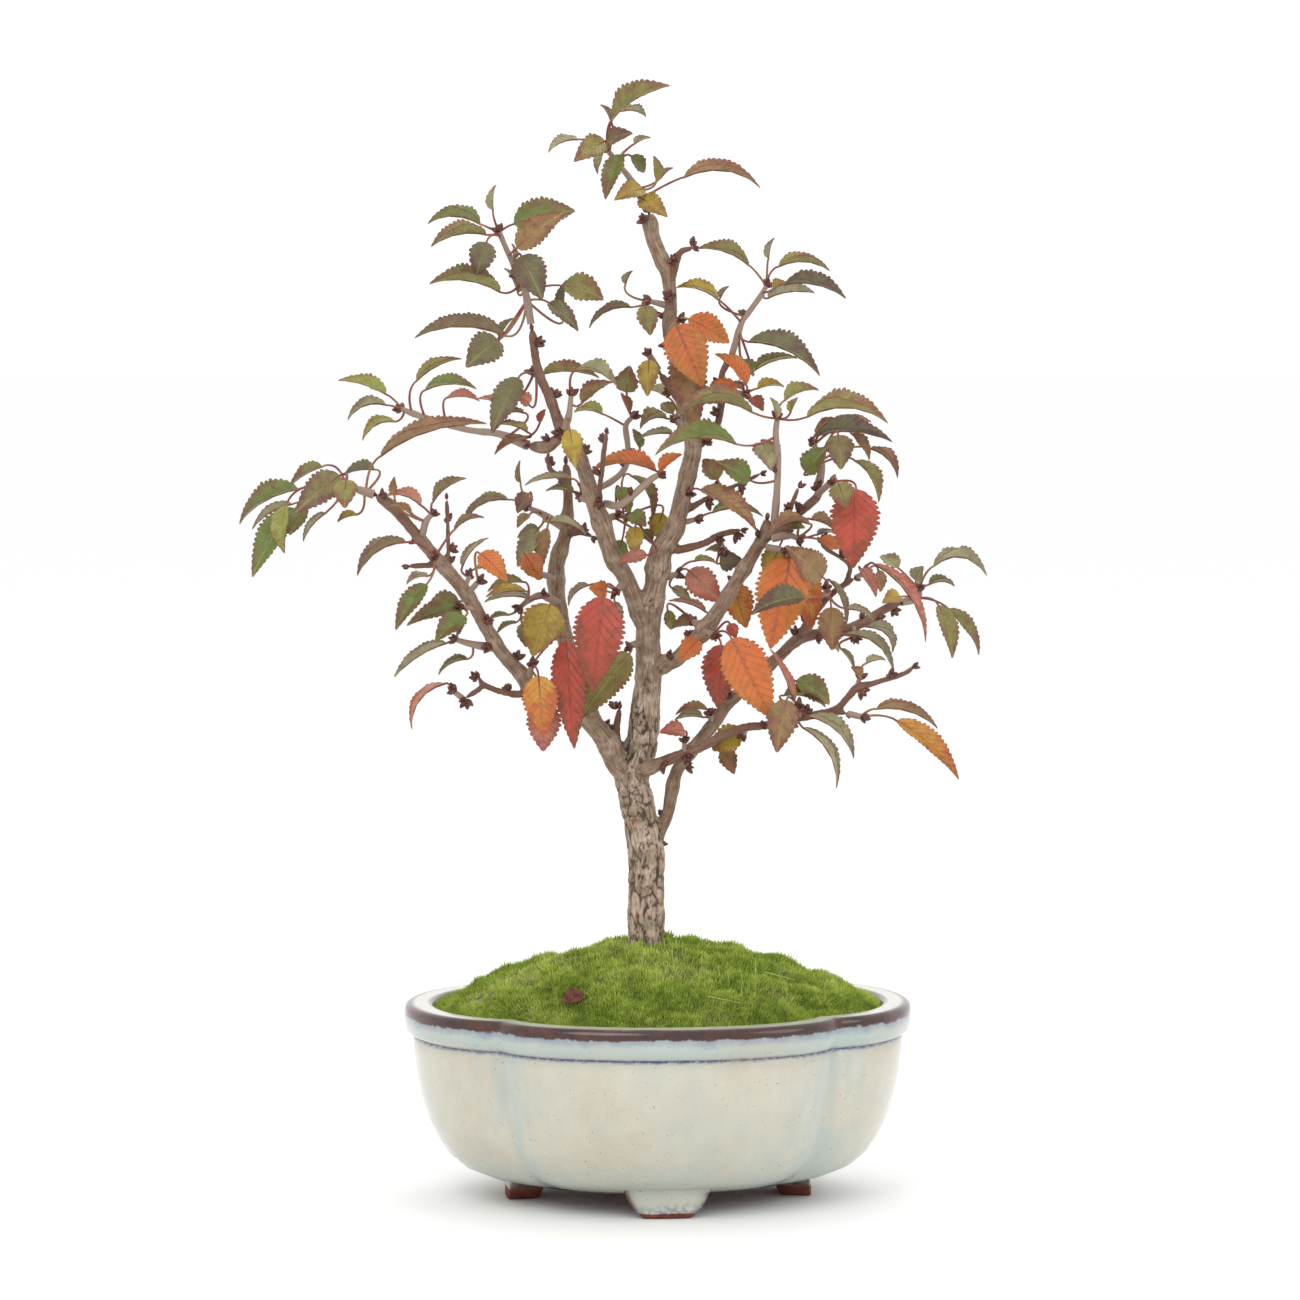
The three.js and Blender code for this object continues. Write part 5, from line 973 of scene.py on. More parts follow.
def glaze_material(look):
    """Cream glaze, blue where it pools, burnt brown along the rim, bare clay under the feet, and painted
    light on the ledge's top.
    """
    made = Finish("glaze", {"Coat Roughness": 0.06})
    where = made.place()
    _, _, height = made.parts(made.node("ShaderNodeMapping", None,
                              {"Vector": where, "Location": (-POT_X, -POT_Y, 0),
                               "Scale": (1 / MM, 1 / MM, 1 / MM)}))
    outside = made.attribute("pot_outside", "Fac")
    crease = made.attribute("pot_crease", "Fac")
    foot = made.attribute("pot_foot", "Fac")
    foot_edge = made.attribute("pot_foot_edge", "Fac")
    lit_ledge = made.attribute("pot_ledge", "Fac")
    broad = made.noise(where, 26, 3, 0.55)
    ragged = made.noise(where, 150, 4, 0.65)
    thin = made.noise(where, 700, 3, 0.6)
    milky = made.ramp(broad * 0.7 + ragged * 0.3, (0.35, (0.72, 0.695, 0.625)),
                      (0.50, look.glaze_colour), (0.66, (0.785, 0.77, 0.705)))
    blue = rgba(look.pool_colour)
    streak = made.noise(made.scaled(where, (1, 1, 0.22)), 90, 3, 0.6)
    patch = (broad * 0.6 + streak * 0.4).within(0.47, 0.60)
    # Painted light: the ledge's top is made paler, as if lit from above
    milky = made.mix(lit_ledge * 0.6, milky, rgba((0.86, 0.845, 0.80)))
    colour = made.mix(patch * 0.24 * outside, milky, blue)
    pool = crease.within(0.25, 1.0) * streak.within(0.35, 0.62)
    colour = made.mix(pool * 0.55 * outside, colour, blue)
    low = (height + ragged * 5).near(14, 12) * outside * (0.15 + broad * 0.35)
    colour = made.mix(low, colour, blue)
    speckle = made.cells(where, 330)
    colour = made.mix((1 - speckle.within(0.05, 0.14)) * thin.within(0.5, 0.6) * 0.45, colour,
                      rgba((0.56, 0.67, 0.69)))
    lip = height.within(POT_HEIGHT - 10.8, POT_HEIGHT - 9.4) * outside
    colour = made.mix(lip * (broad * 0.5 + ragged * 0.7 - 0.05), colour, blue)
    haze = (height + ragged * 3.2 - 1.6).within(POT_HEIGHT - 6.6, POT_HEIGHT - 3.6) * outside
    colour = made.mix(haze * (0.35 + ragged * 0.6), colour, rgba((0.46, 0.49, 0.58)))
    groove = (height + ragged * 1.4 - 0.7).near(POT_HEIGHT - 10.6, 1.2) * outside
    colour = made.mix(groove * thin.within(0.3, 0.55) * (0.3 + broad), colour, rgba((0.36, 0.38, 0.55)))
    wander = ragged * 3.4 + thin * 1.0 - 2.2
    burnt = (height + wander).within(POT_HEIGHT - 3.9, POT_HEIGHT - 3.1) * outside
    inner_line = made.attribute("pot_rim_line", "Fac")
    brown = made.ramp(ragged, (0.35, (0.17, 0.075, 0.05)), (0.55, (0.26, 0.12, 0.08)),
                      (0.72, (0.37, 0.19, 0.13)))
    foot_line = foot_edge * (0.75 + ragged * 0.5).within(0.9, 1.05)
    edge = burnt + inner_line * thin.within(0.2, 0.45) * 0.8 + foot_line
    colour = made.mix(edge.math("MINIMUM", edge, 1), colour, brown)
    dots = made.noise(where, 1300, 1)
    colour = made.mix(dots.within(0.73, 0.76) * 0.7, colour, rgba((0.33, 0.22, 0.16)))
    foot_pool = foot * (height + ragged * 3).near(4.0, 3.0) * thin.within(0.35, 0.6)
    colour = made.mix(foot_pool * 0.7, colour, rgba((0.40, 0.50, 0.58)))
    beside = made.attribute("pot_side_foot", "Fac")
    colour = made.mix(beside * 0.55, colour, rgba((0.36, 0.33, 0.27)))
    clay_line = 1 - (height + ragged * 1.6 - 0.8 - beside * 2.4).within(1.5, 2.1)
    bare = foot * clay_line + made.attribute("pot_bare", "Fac")
    bare = bare.math("MINIMUM", bare, 1)
    clay = made.ramp(ragged, (0.35, (0.30, 0.13, 0.085)), (0.6, (0.46, 0.22, 0.14)))
    colour = made.mix(bare, colour, clay)
    made.feed("Base Color", colour)
    made.feed("Roughness", 0.15 + bare * 0.6 + ragged * 0.08)
    made.feed("Coat Weight", (1 - bare) * 0.35)
    made.bump(broad * 0.5 + ragged * 0.2 + thin * 0.04, 0.25, 0.8)
    return made.material


# What a user can change

class BonsaiSettings(bpy.types.PropertyGroup):
    """Sizes and colours of the tree, its moss and its pot."""

    glaze_colour: FloatVectorProperty(
        name="Glaze", description="Cream of the pot's glaze", subtype="COLOR",
        default=(0.755, 0.735, 0.67), min=0, max=1)
    pool_colour: FloatVectorProperty(
        name="Pooled glaze", description="Blue where the glaze is thick", subtype="COLOR",
        default=(0.63, 0.70, 0.69), min=0, max=1)
    bark_colour: FloatVectorProperty(
        name="Bark plates", description="Colour of the flaky plates on the trunk", subtype="COLOR",
        default=(0.62, 0.53, 0.46), min=0, max=1)
    twig_colour: FloatVectorProperty(
        name="Branch bark", description="Colour of the thin wood", subtype="COLOR",
        default=(0.54, 0.45, 0.37), min=0, max=1)
    plate_depth: FloatProperty(
        name="Plate depth", description="How deep the grooves between bark plates are",
        subtype="DISTANCE", default=0.65 * MM, min=0, max=1 * MM)
    grain: FloatProperty(
        name="Bark grain", description="Edge of one small square of the wood's surface",
        subtype="DISTANCE", default=0.6 * MM, min=0.4 * MM, max=2 * MM)
    tooth_pitch: FloatProperty(
        name="Tooth pitch", description="Distance from one leaf tooth to the next",
        subtype="DISTANCE", default=1.7 * MM, min=1 * MM, max=5 * MM)
    leaf_thickness: FloatProperty(
        name="Leaf thickness", description="Thickness of a blade",
        subtype="DISTANCE", default=0.26 * MM, min=0.1 * MM, max=1 * MM)
    tuft_count: IntProperty(
        name="Moss tufts", description="How many tufts of moss cover each half of the mound",
        default=7400, min=100, max=9000)
    tuft_height: FloatProperty(
        name="Tuft height", description="Length of the moss fibres",
        subtype="DISTANCE", default=2.5 * MM, min=0.5 * MM, max=6 * MM)
    lamp_power: FloatProperty(
        name="Lamp power", description="Power of the large soft lamp", subtype="POWER",
        default=5.5, min=0, max=200)


# Pot

def lobed(angle, half_width):
    """Where the four-lobed outline of the pot is at an angle, in millimetres from its axis."""
    reach = 1 - CREASE_DEPTH * (1 - abs(np.cos(2 * angle))) ** 3
    return half_width * reach * np.cos(angle), (half_width - POT_NARROWER) * reach * np.sin(angle)


def pot_wall():
    """The wall, grown ring by ring from one lobed outline, up the outside and down the inside."""
    levels = POT_OUTSIDE + POT_INSIDE
    width, height = levels[0]
    wall = added(bpy.ops.mesh.primitive_circle_add, vertices=POT_SIDES, radius=width * MM,
                 fill_type="NOTHING")
    spots = points_of(wall)
    x, y = lobed(np.arctan2(spots[:, 1], spots[:, 0]), width)
    set_points(wall, np.column_stack([x, y, np.full(len(x), height)]))
    edit_whole()
    for next_width, next_height in levels[1:]:
        raise_edges(next_height - height)
        resize(next_width / width, (next_width - POT_NARROWER) / (width - POT_NARROWER))
        width, height = next_width, next_height
    bpy.ops.mesh.fill_grid(span=POT_SIDES // 4)
    pick(wall, lambda co: co.z < levels[0][1] + 0.01)
    bpy.ops.mesh.fill_grid(span=POT_SIDES // 4)
    close_outwards()
    return wall


def drill(wall):
    """Cuts the two drain holes."""
    drills = [added(bpy.ops.mesh.primitive_cylinder_add, vertices=32, radius=DRAIN_RADIUS * MM,
                    depth=2 * DRAIN_MIDDLE * MM,
                    location=(side * DRAIN_OFFSET * MM, 0, DRAIN_MIDDLE * MM)) for side in (-1, 1)]
    for made in drills:
        modify(wall, "BOOLEAN", operation="DIFFERENCE", solver="EXACT", object=made)
    clear_away(*drills)


def foot(outer):
    """One foot, grown upwards from its small sole, then bent round the pot's axis."""
    height, width, thickness = FOOT_LEVELS[0]
    made = added(bpy.ops.mesh.primitive_grid_add, x_subdivisions=12, y_subdivisions=4, size=1)
    # The grid is a metre wide, so its points in metres are shares of the sole
    spots = points_of(made) * MM
    set_points(made, spots * [width, thickness, 0] + [0, -thickness / 2, height])
    edit_whole()
    for next_height, next_width, next_thickness in FOOT_LEVELS[1:]:
        bpy.ops.mesh.extrude_region_move(
            TRANSFORM_OT_translate={"value": (0, 0, (next_height - height) * MM)})
        resize(next_width / width, next_thickness / thickness)
        height, width, thickness = next_height, next_width, next_thickness
    close_outwards()
    spots = points_of(made)
    turn = spots[:, 0] / outer
    reach = outer + spots[:, 1]
    set_points(made, np.column_stack([reach * np.cos(turn), reach * np.sin(turn), spots[:, 2]]))
    modify(made, "BEVEL", width=0.7 * MM, segments=2, limit_method="ANGLE",
           angle_limit=math.radians(50))
    return made


def all_feet():
    """The four feet, each marked for the glaze and turned to its side of the pot."""
    levels = np.array(FOOT_LEVELS)
    feet = []
    for quarter in range(4):
        outer = FOOT_OUTER[quarter % 2]
        made = foot(outer)
        spots = points_of(made)
        half = np.interp(spots[:, 2], levels[:, 0], levels[:, 1]) / 2
        beside = np.abs(np.arctan2(spots[:, 1], spots[:, 0])) * outer / half
        paint_points(made, "pot_foot", np.ones(len(spots)))
        paint_points(made, "pot_side_foot", np.full(len(spots), 1 - quarter % 2))
        paint_points(made, "pot_foot_edge", np.clip((beside - 0.8) / 0.15, 0, 1))
        angle = quarter * math.pi / 2
        cos, sin = math.cos(angle), math.sin(angle)
        set_points(made, spots @ np.array([[cos, sin, 0], [-sin, cos, 0], [0, 0, 1]]))
        feet.append(made)
    return feet


def mark_glaze(pot):
    """Stores where the creases, the outside, the ledge's top (for its painted light), the rim's line and
    the bare clay are.
    """
    x, y, height = points_of(pot).T
    half_depth = POT_HALF_WIDTH - POT_NARROWER
    angle = np.arctan2(y * POT_HALF_WIDTH, x * half_depth)
    share = np.hypot(x, y) / np.hypot(*lobed(angle, POT_HALF_WIDTH))
    border_heights, border_widths = np.array(INSIDE_BORDER).T
    inner = np.interp(height, border_heights, border_widths / POT_HALF_WIDTH)
    outside = np.clip((share - inner) * POT_HALF_WIDTH / INSIDE_BLEND, 0, 1)
    outside[height < UNDERSIDE_HEIGHT] = 1
    bare = (height < BARE_HEIGHT) & (np.hypot(x / POT_HALF_WIDTH, y / half_depth) < BARE_SHARE)
    rim = (height > RIM_LINE_LOW) & (height < RIM_LINE_HIGH)
    # The ledge's top, marked for the painted light that makes it paler
    paint_points(pot, "pot_ledge", (height > LEDGE_HEIGHT) & (share < LEDGE_WIDTH / POT_HALF_WIDTH))
    paint_points(pot, "pot_outside", outside)
    paint_points(pot, "pot_crease", (1 - abs(np.cos(2 * angle))) ** 1.3)
    paint_points(pot, "pot_rim_line", rim & (share < RIM_LINE_WIDTH / POT_HALF_WIDTH))
    paint_points(pot, "pot_bare", bare)


class BONSAI_OT_pot(bpy.types.Operator):
    """Models the four-lobed pot with its lip, drain holes and four feet, and glazes it"""
    bl_idname = "bonsai.pot"
    bl_label = "Pot"

    def execute(self, context):
        wall = pot_wall()
        drill(wall)
        pot = join([wall, *all_feet()], "glazed_pot")
        mark_glaze(pot)
        set_points(pot, points_of(pot) + [POT_X, POT_Y, 0])
        round_off(pot, 50)
        finish_piece(pot, "glaze", [glaze_material(context.scene.bonsai)], "pot")
        return {"FINISHED"}


class BONSAI_OT_bed(bpy.types.Operator):
    """Finishes the soil and the drain screens inside the pot"""
    bl_idname = "bonsai.bed"
    bl_label = "Soil and drain screens"

    def execute(self, context):
        screen = screen_material()
        for name, material in (("soil", soil_material()), ("drain_screen_left", screen),
                               ("drain_screen_right", screen)):
            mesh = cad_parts[name].data
            mesh.materials.clear()
            mesh.materials.append(material)
        return {"FINISHED"}


# Moss

def moss_height(share, turn):
    """Height of the mossy mound at a share of the way out from its middle, and how raised it is."""
    x = share * np.cos(turn) * 11
    y = share * np.sin(turn) * 9
    clumps = np.array([noise.noise(Vector((a, b, 3.7))) + 0.5 * noise.noise(Vector((2.3 * a, 2.3 * b, 8)))
                       for a, b in zip(x, y)])
    fade = np.clip((1 - share) * 8, 0, 1)
    lumps = 0.9 * (np.sin(5 * turn + 9 * share) + np.sin(9 * turn - 23 * share)) * fade
    return MOSS_EDGE_HEIGHT + MOSS_RISE * (1 - share ** 1.7) + lumps + 1.1 * clumps * fade, clumps


def moss_spots(share, turn):
    """Spots on the mound, and how much each is raised by the clumps."""
    x, y = lobed(turn, MOSS_EDGE)
    height, clumps = moss_height(share, turn)
    return np.column_stack([x * share + POT_X, y * share + POT_Y, height]), clumps


def moss_at(side, front):
    """The spot on the mound at a distance to the side and a share of the way forward."""
    turn = math.atan2(front * 68, side)
    share = min(0.95, math.hypot(side / MOSS_EDGE, front))
    return moss_spots(np.array([share]), np.array([turn]))[0][0]


class BONSAI_OT_moss(bpy.types.Operator):
    """Grows the mossy mound: a lumpy bed, two halves of tufts, stalks, a fallen leaf and grit"""
    bl_idname = "bonsai.moss"
    bl_label = "Moss"

    def execute(self, context):
        look = context.scene.bonsai
        chance = random.Random(11)
        self.grow_bed()
        tuft = self.model_tuft(look.tuft_height / MM)
        for behind, name in ((False, "moss_tufts_front"), (True, "moss_tufts_back")):
            self.plant_half(name, behind, tuft, look.tuft_count * 2, chance)
        clear_away(tuft)
        self.scatter_stalks(chance)
        self.drop_leaf(chance)
        self.scatter_pebbles()
        return {"FINISHED"}

    def grow_bed(self):
        """The bed under the tufts, a disc drawn in ring by ring."""
        bed = added(bpy.ops.mesh.primitive_circle_add, vertices=MOSS_SIDES, radius=MOSS_EDGE * MM,
                    fill_type="NOTHING")
        edit_whole()
        raise_edges(5)
        for ring in range(MOSS_RINGS):
            share = 1 - ring / MOSS_RINGS
            raise_edges(0.01)
            factor = (share - 1 / MOSS_RINGS) / share if ring < MOSS_RINGS - 1 else 0.0001
            resize(factor, factor)
        bpy.ops.mesh.merge(type="CENTER")
        pick(bed, lambda co: co.z < 0.01)
        bpy.ops.mesh.edge_face_add()
        close_outwards()
        spots = points_of(bed)
        share = np.hypot(spots[:, 0], spots[:, 1]) / MOSS_EDGE
        placed, clumps = moss_spots(share, np.arctan2(spots[:, 1], spots[:, 0]))
        placed[:, 2] -= 0.5
        placed[spots[:, 2] < 0.01, 2] = MOSS_EDGE_HEIGHT - 4
        set_points(bed, placed)
        # Painted shade on the bed under the tufts: dark, a little lighter on raised clumps
        paint_points(bed, "moss_lift", np.clip(0.15 + clumps * 0.4, 0, 1))
        round_off(bed, 80)
        bed.name = "moss_bed"
        finish_piece(bed, "moss", [moss_material("moss bed", 0.9)], "moss")

    def model_tuft(self, height):
        """One tuft: an upright pointed fibre, and shorter ones that lean away from it."""
        fibres = []
        for i in range(TUFT_FIBRES):
            fibre = added(bpy.ops.mesh.primitive_cone_add, vertices=3, radius1=FIBRE_RADIUS * MM,
                          radius2=0, depth=height * MM, location=(0, 0, height / 2 * MM))
            settle(fibre)
            spots = points_of(fibre)
            lean = FIBRE_LEAN if i else 0
            tall = spots[:, 2] * (0.86 if i else 1.0)
            turn = i * 2 * math.pi / (TUFT_FIBRES - 1)
            out = tall * math.sin(lean) + 0.12
            spots[:, 0] += out * math.cos(turn)
            spots[:, 1] += out * math.sin(turn)
            spots[:, 2] = tall * math.cos(lean)
            set_points(fibre, spots)
            fibres.append(fibre)
        return join(fibres, "tuft")

    def plant_half(self, name, behind, tuft, count, chance):
        """The tufts on the near or the far half of the mound, as one piece."""
        shape = points_of(tuft)
        # Share of the height up a fibre, for the painted shade at its root
        lift = np.clip(shape[:, 2] / shape[:, 2].max(), 0, 1)
        index = np.arange(count)
        golden = math.pi * (3 - math.sqrt(5))
        turn = (index * golden) % (2 * math.pi)
        share = np.sqrt((index + 0.5) / count)
        share = np.clip(share + np.array([chance.uniform(-0.004, 0.004) for _ in index]), 0, 0.995)
        placed, clumps = moss_spots(share, turn)
        painted_lights = []
        spots = []
        trunk = place(*LIMBS[0][1][:3])
        for i, spot in enumerate(placed):
            near_trunk = math.hypot(*(spot - trunk)[:2]) < TRUNK_CLEARANCE
            if (math.sin(turn[i]) > 0) != behind or near_trunk:
                continue
            out = share[i] ** 2 * 0.8
            heading = [math.cos(turn[i]) * out + chance.uniform(-0.35, 0.35),
                       math.sin(turn[i]) * out + chance.uniform(-0.35, 0.35), 1]
            size = chance.uniform(0.55, 1.3) * (1 + 0.3 * clumps[i])
            stretched = shape * [1, 1, size]
            spots.append(turned(stretched, heading, chance.uniform(0, 6.28)) + spot
                         - [0, 0, TUFT_SINK])
            # Painted light for each point: darker at the roots, lighter on raised clumps, with some random
            # spread
            painted_lights.append(np.clip(lift * 0.85 + clumps[i] * 0.3 + chance.uniform(-0.3, 0.3), 0, 1))
        grown = copies(tuft, name, spots)
        paint_points(grown, "moss_lift", np.concatenate(painted_lights))
        finish_piece(grown, "moss", [moss_material(name.replace("_", " "), 0.82)])

    def scatter_stalks(self, chance):
        """Pale spore stalks on the front half, and a few fallen stalks."""
        stalk = added(bpy.ops.mesh.primitive_cone_add, vertices=4, radius1=0.13 * MM,
                      radius2=0.09 * MM, depth=1 * MM, location=(0, 0, 0.5 * MM))
        settle(stalk)
        shape = points_of(stalk)
        spots = []
        for _ in range(STALK_COUNT):
            turn = chance.uniform(-2.5, -0.3)
            share = chance.uniform(0.2, 0.85)
            root = moss_spots(np.array([share]), np.array([turn]))[0][0]
            lean = [chance.uniform(-0.25, 0.25), chance.uniform(-0.3, 0.1), 1]
            tall = shape * [1, 1, chance.uniform(4, 7)]
            spots.append(turned(tall, lean, chance.uniform(0, 6)) + root)
        for side, front, heading, length in FALLEN_STALKS:
            laid = turned(shape * [1.3, 1.3, length], heading, 0.4)
            spots.append(laid + moss_at(side, front) + [0, 0, 2.2])
        finish_piece(copies(stalk, "moss_stalks", spots), "moss", [straw_material()])
        clear_away(stalk)

    def drop_leaf(self, chance):
        """A small dead leaf that lies curled at the front edge of the moss."""
        blade = model_blade(7)
        set_points(blade, shape_blade(points_of(blade), DEAD_LEAF, 0.3, chance))
        blade.name = "moss_fallen_leaf"
        round_off(blade, 60)
        finish_piece(blade, "moss", [dead_leaf_material()])

    def scatter_pebbles(self):
        pebble = added(bpy.ops.mesh.primitive_ico_sphere_add, subdivisions=2, radius=1 * MM)
        shape = points_of(pebble)
        spots = []
        for side, front, size in PEBBLES:
            rough = np.array([0.85 + 0.4 * noise.noise(Vector(p * 1.3 + size)) for p in shape])
            flattened = shape * rough[:, None] * [size, size * 0.8, size * 0.7]
            spots.append(flattened + moss_at(side, front) + [0, 0, 0.9])
        grit = copies(pebble, "moss_grit", spots)
        round_off(grit, 60)
        finish_piece(grit, "moss", [grit_material()])
        clear_away(pebble)


# Wood

def grow_tubes(name, routes, sides, materials=()):
    """Round tubes along routes of x, y, z, radius rows, drawn as one bevelled curve.

    Each route comes with the number of its material.
    """
    curve = bpy.data.curves.new(name, "CURVE")
    curve.dimensions = "3D"
    curve.bevel_depth = 1 * MM
    curve.bevel_resolution = sides // 4 - 1
    curve.use_fill_caps = True
    for material in materials:
        curve.materials.append(material)
    for rows, slot in routes:
        line = curve.splines.new("POLY")
        line.points.add(len(rows) - 1)
        for point, (x, y, z, radius) in zip(line.points, rows):
            point.co = (x * MM, y * MM, z * MM, 1)
            point.radius = radius
        line.material_index = slot
        line.use_smooth = True
    obj = bpy.data.objects.new(name, curve)
    bpy.context.scene.collection.objects.link(obj)
    solo(obj)
    bpy.ops.object.convert(target="MESH")
    return bpy.context.object


def read_bark(obj, lines):
    """For each point: its place round and along the nearest limb, and the limb's radius."""
    spots = points_of(obj)
    best = np.full(len(spots), 1e9)
    found = np.zeros((len(spots), 3))
    radii = np.zeros(len(spots))
    done = 0.0
    for rows in lines:
        low = rows[:, :3].min(0) - BARK_REACH
        high = rows[:, :3].max(0) + BARK_REACH
        near = np.where(((spots > low) & (spots < high)).all(1))[0]
        lengths = lengths_along(rows) + done
        done = lengths[-1] + BARK_SHIFT
        if not len(near):
            continue
        gaps = np.linalg.norm(spots[near][:, None, :] - rows[None, :, :3], axis=2) - rows[None, :, 3]
        closest = gaps.argmin(1)
        value = gaps[np.arange(len(near)), closest]
        better = value < best[near]
        kept = near[better]
        index = closest[better]
        best[kept] = value[better]
        ahead = rows[np.minimum(index + 1, len(rows) - 1), :3]
        behind = rows[np.maximum(index - 1, 0), :3]
        axis = (ahead - behind) / np.linalg.norm(ahead - behind, axis=1)[:, None]
        reach = spots[kept] - rows[index, :3]
        step = (reach * axis).sum(1)
        reach = reach - axis * step[:, None]
        side = np.cross(axis, [0.0, 1.0, 0.0])
        side /= np.maximum(np.linalg.norm(side, axis=1), 1e-6)[:, None]
        other = np.cross(axis, side)
        found[kept] = np.column_stack([(reach * side).sum(1), (reach * other).sum(1),
                                       lengths[index] + step])
        radii[kept] = rows[index, 3]
    return found, radii


def store_bark(obj, found, radii, groove):
    paint_points(obj, "bark_place", found)
    paint_points(obj, "bark_radius", radii)
    paint_points(obj, "bark_groove", groove)


def knotted(rows, number):
    """A limb's rows with small swellings where side shoots once grew."""
    chance = random.Random(100 + number)
    rows = rows.copy()
    along = chance.uniform(3, 9)
    steps = lengths_along(rows)
    while along < steps[-1]:
        thick = rows[np.searchsorted(steps, along), 3] > 4
        swell = chance.uniform(0.02, 0.06) if thick else chance.uniform(0.08, 0.22)
        rows[:, 3] *= 1 + swell * np.exp(-((steps - along) / 2.2) ** 2)
        along += chance.uniform(9, 20)
    return rows


def tapered(rows):
    """A limb's rows drawn in where it leaves its parent and rounded off at its end."""
    rows = rows.copy()
    rows[:2, 3] *= (0.55, 0.8)
    rows[-2:, 3] *= (0.85, 0.55)
    return rows


class BONSAI_OT_wood(bpy.types.Operator):
    """Grows the trunk and the branches as one skin and cuts bark plates and lines into it"""
    bl_idname = "bonsai.wood"
    bl_label = "Trunk and branches"

    def execute(self, context):
        look = context.scene.bonsai
        lines = [knotted(smooth_route(limb, 1.2), number) for number, limb in enumerate(LIMBS)]
        wood = grow_tubes("tree", [(tapered(rows), 0) for rows in lines], 16)
        modify(wood, "REMESH", mode="VOXEL", voxel_size=look.grain)
        modify(wood, "SMOOTH", factor=0.5, iterations=3)
        found, radii = read_bark(wood, lines)
        lift, groove = self.carve(found, radii, look.plate_depth / MM)
        outward = np.zeros(len(lift) * 3)
        wood.data.vertices.foreach_get("normal", outward)
        set_points(wood, points_of(wood) + outward.reshape(-1, 3) * lift[:, None])
        store_bark(wood, found, radii, groove)
        solo(wood)
        bpy.ops.object.shade_smooth()
        wood.name = "trunk_and_branches"
        finish_piece(wood, "bark", [bark_material(look)], "tree_wood")
        return {"FINISHED"}

    def carve(self, found, radii, plate_depth):
        """How far each point is raised by plates, lines and rings, and how deep in a groove it is."""
        lift = np.zeros(len(radii))
        groove = np.zeros(len(radii))
        for i, ((a, b, s), radius) in enumerate(zip(found, radii)):
            thick = min(1, max(0, (radius - PLATES_FROM) / PLATES_OVER))
            if thick > 0:
                wobble = noise.noise(Vector((a * 0.35, b * 0.35, s * 0.16)))
                drift = noise.noise(Vector((a * 0.3 + 9, b * 0.3, s * 0.13)))
                plate = noise.voronoi(Vector((a * 0.24 + wobble, b * 0.24 + drift, s * 0.085 + wobble)))[0]
                seam = 1 - min(1, (plate[1] - plate[0]) / 0.19)
                groove[i] = seam * thick
                lift[i] += thick * (0.5 * wobble - seam) * plate_depth
            line = noise.noise(Vector((a * 1.9, b * 1.9, s * 0.2)))
            ring = noise.noise(Vector((a * 0.3, b * 0.3, s * 0.9)))
            lift[i] += (1 - thick * 0.5) * (0.13 * line + 0.14 * ring)
            groove[i] = max(groove[i], min(1, max(0, -line * 1.6)) * 0.5)
        return lift, groove


# Buds

class BONSAI_OT_buds(bpy.types.Operator):
    """Models one scaly bud and sets copies of it in clusters along the twigs"""
    bl_idname = "bonsai.buds"
    bl_label = "Buds"

    def execute(self, context):
        chance = random.Random(5)
        bud = added(bpy.ops.mesh.primitive_uv_sphere_add, segments=6, ring_count=6, radius=1 * MM)
        shape = points_of(bud)
        pointed = 1 - 0.35 * np.clip(shape[:, 2], 0, 1)
        shape = shape * np.column_stack([pointed, pointed, np.full(len(shape), 1.9)]) + [0, 0, 1.2]
        spots = []

        def cluster(root, heading, count, size):
            for i in range(count):
                spread = 0.0 if i == 0 else 0.95
                turn = i * 2.4 + chance.uniform(-0.4, 0.4)
                side = unit(np.cross(heading, [0.3, 0.5, 0.81]))
                other = np.cross(heading, side)
                way = unit(heading + spread * (side * math.cos(turn) + other * math.sin(turn)))
                one = size * chance.uniform(0.75, 1.15)
                spots.append(turned(shape * one, way, turn) + root + way * 0.3)

        for _, _, _, stem, _ in SHOOTS:
            rows = smooth_route(stem, 1.5)
            heading = unit(rows[-1, :3] - rows[-2, :3])
            cluster(rows[-1, :3], heading, 5, 0.95)
            if len(rows) > 9:
                middle = rows[len(rows) // 2]
                side = unit(np.cross(heading, [chance.uniform(-1, 1), 0.6, 0.4]))
                cluster(middle[:3] + side * middle[3] * 0.6, side, 3, 0.8)
        for limb in LIMBS:
            rows = smooth_route(limb, 1.5)
            gone = chance.uniform(5, 9)
            steps = lengths_along(rows)
            while gone < steps[-1]:
                index = int(np.searchsorted(steps, gone))
                radius = rows[index, 3]
                if radius < 2.9 and chance.random() < 0.75:
                    axis = unit(rows[index, :3] - rows[max(0, index - 1), :3])
                    side = unit(np.cross(axis, [chance.uniform(-1, 1), chance.uniform(-1, 1), 0.3]))
                    way = unit(side + axis * 0.5)
                    root = rows[index, :3] + side * radius * 0.85
                    cluster(root, way, chance.choice((3, 5, 7)), 0.95)
                gone += chance.uniform(7, 13)
            if rows[-1, 3] < 3:
                cluster(rows[-1, :3], unit(rows[-1, :3] - rows[-2, :3]), 2, 0.75)
        made = copies(bud, "buds", spots)
        clear_away(bud)
        round_off(made, 70)
        finish_piece(made, "bark", [bud_material()])
        return {"FINISHED"}


# Leaves

def blade_reach(share):
    """Half width of a blade at a share of its length: round near the base, drawn out at the tip."""
    return math.sin(math.pi * min(1, max(0, share)) ** 0.68) ** 0.85 if 0 < share < 1 else 0.0


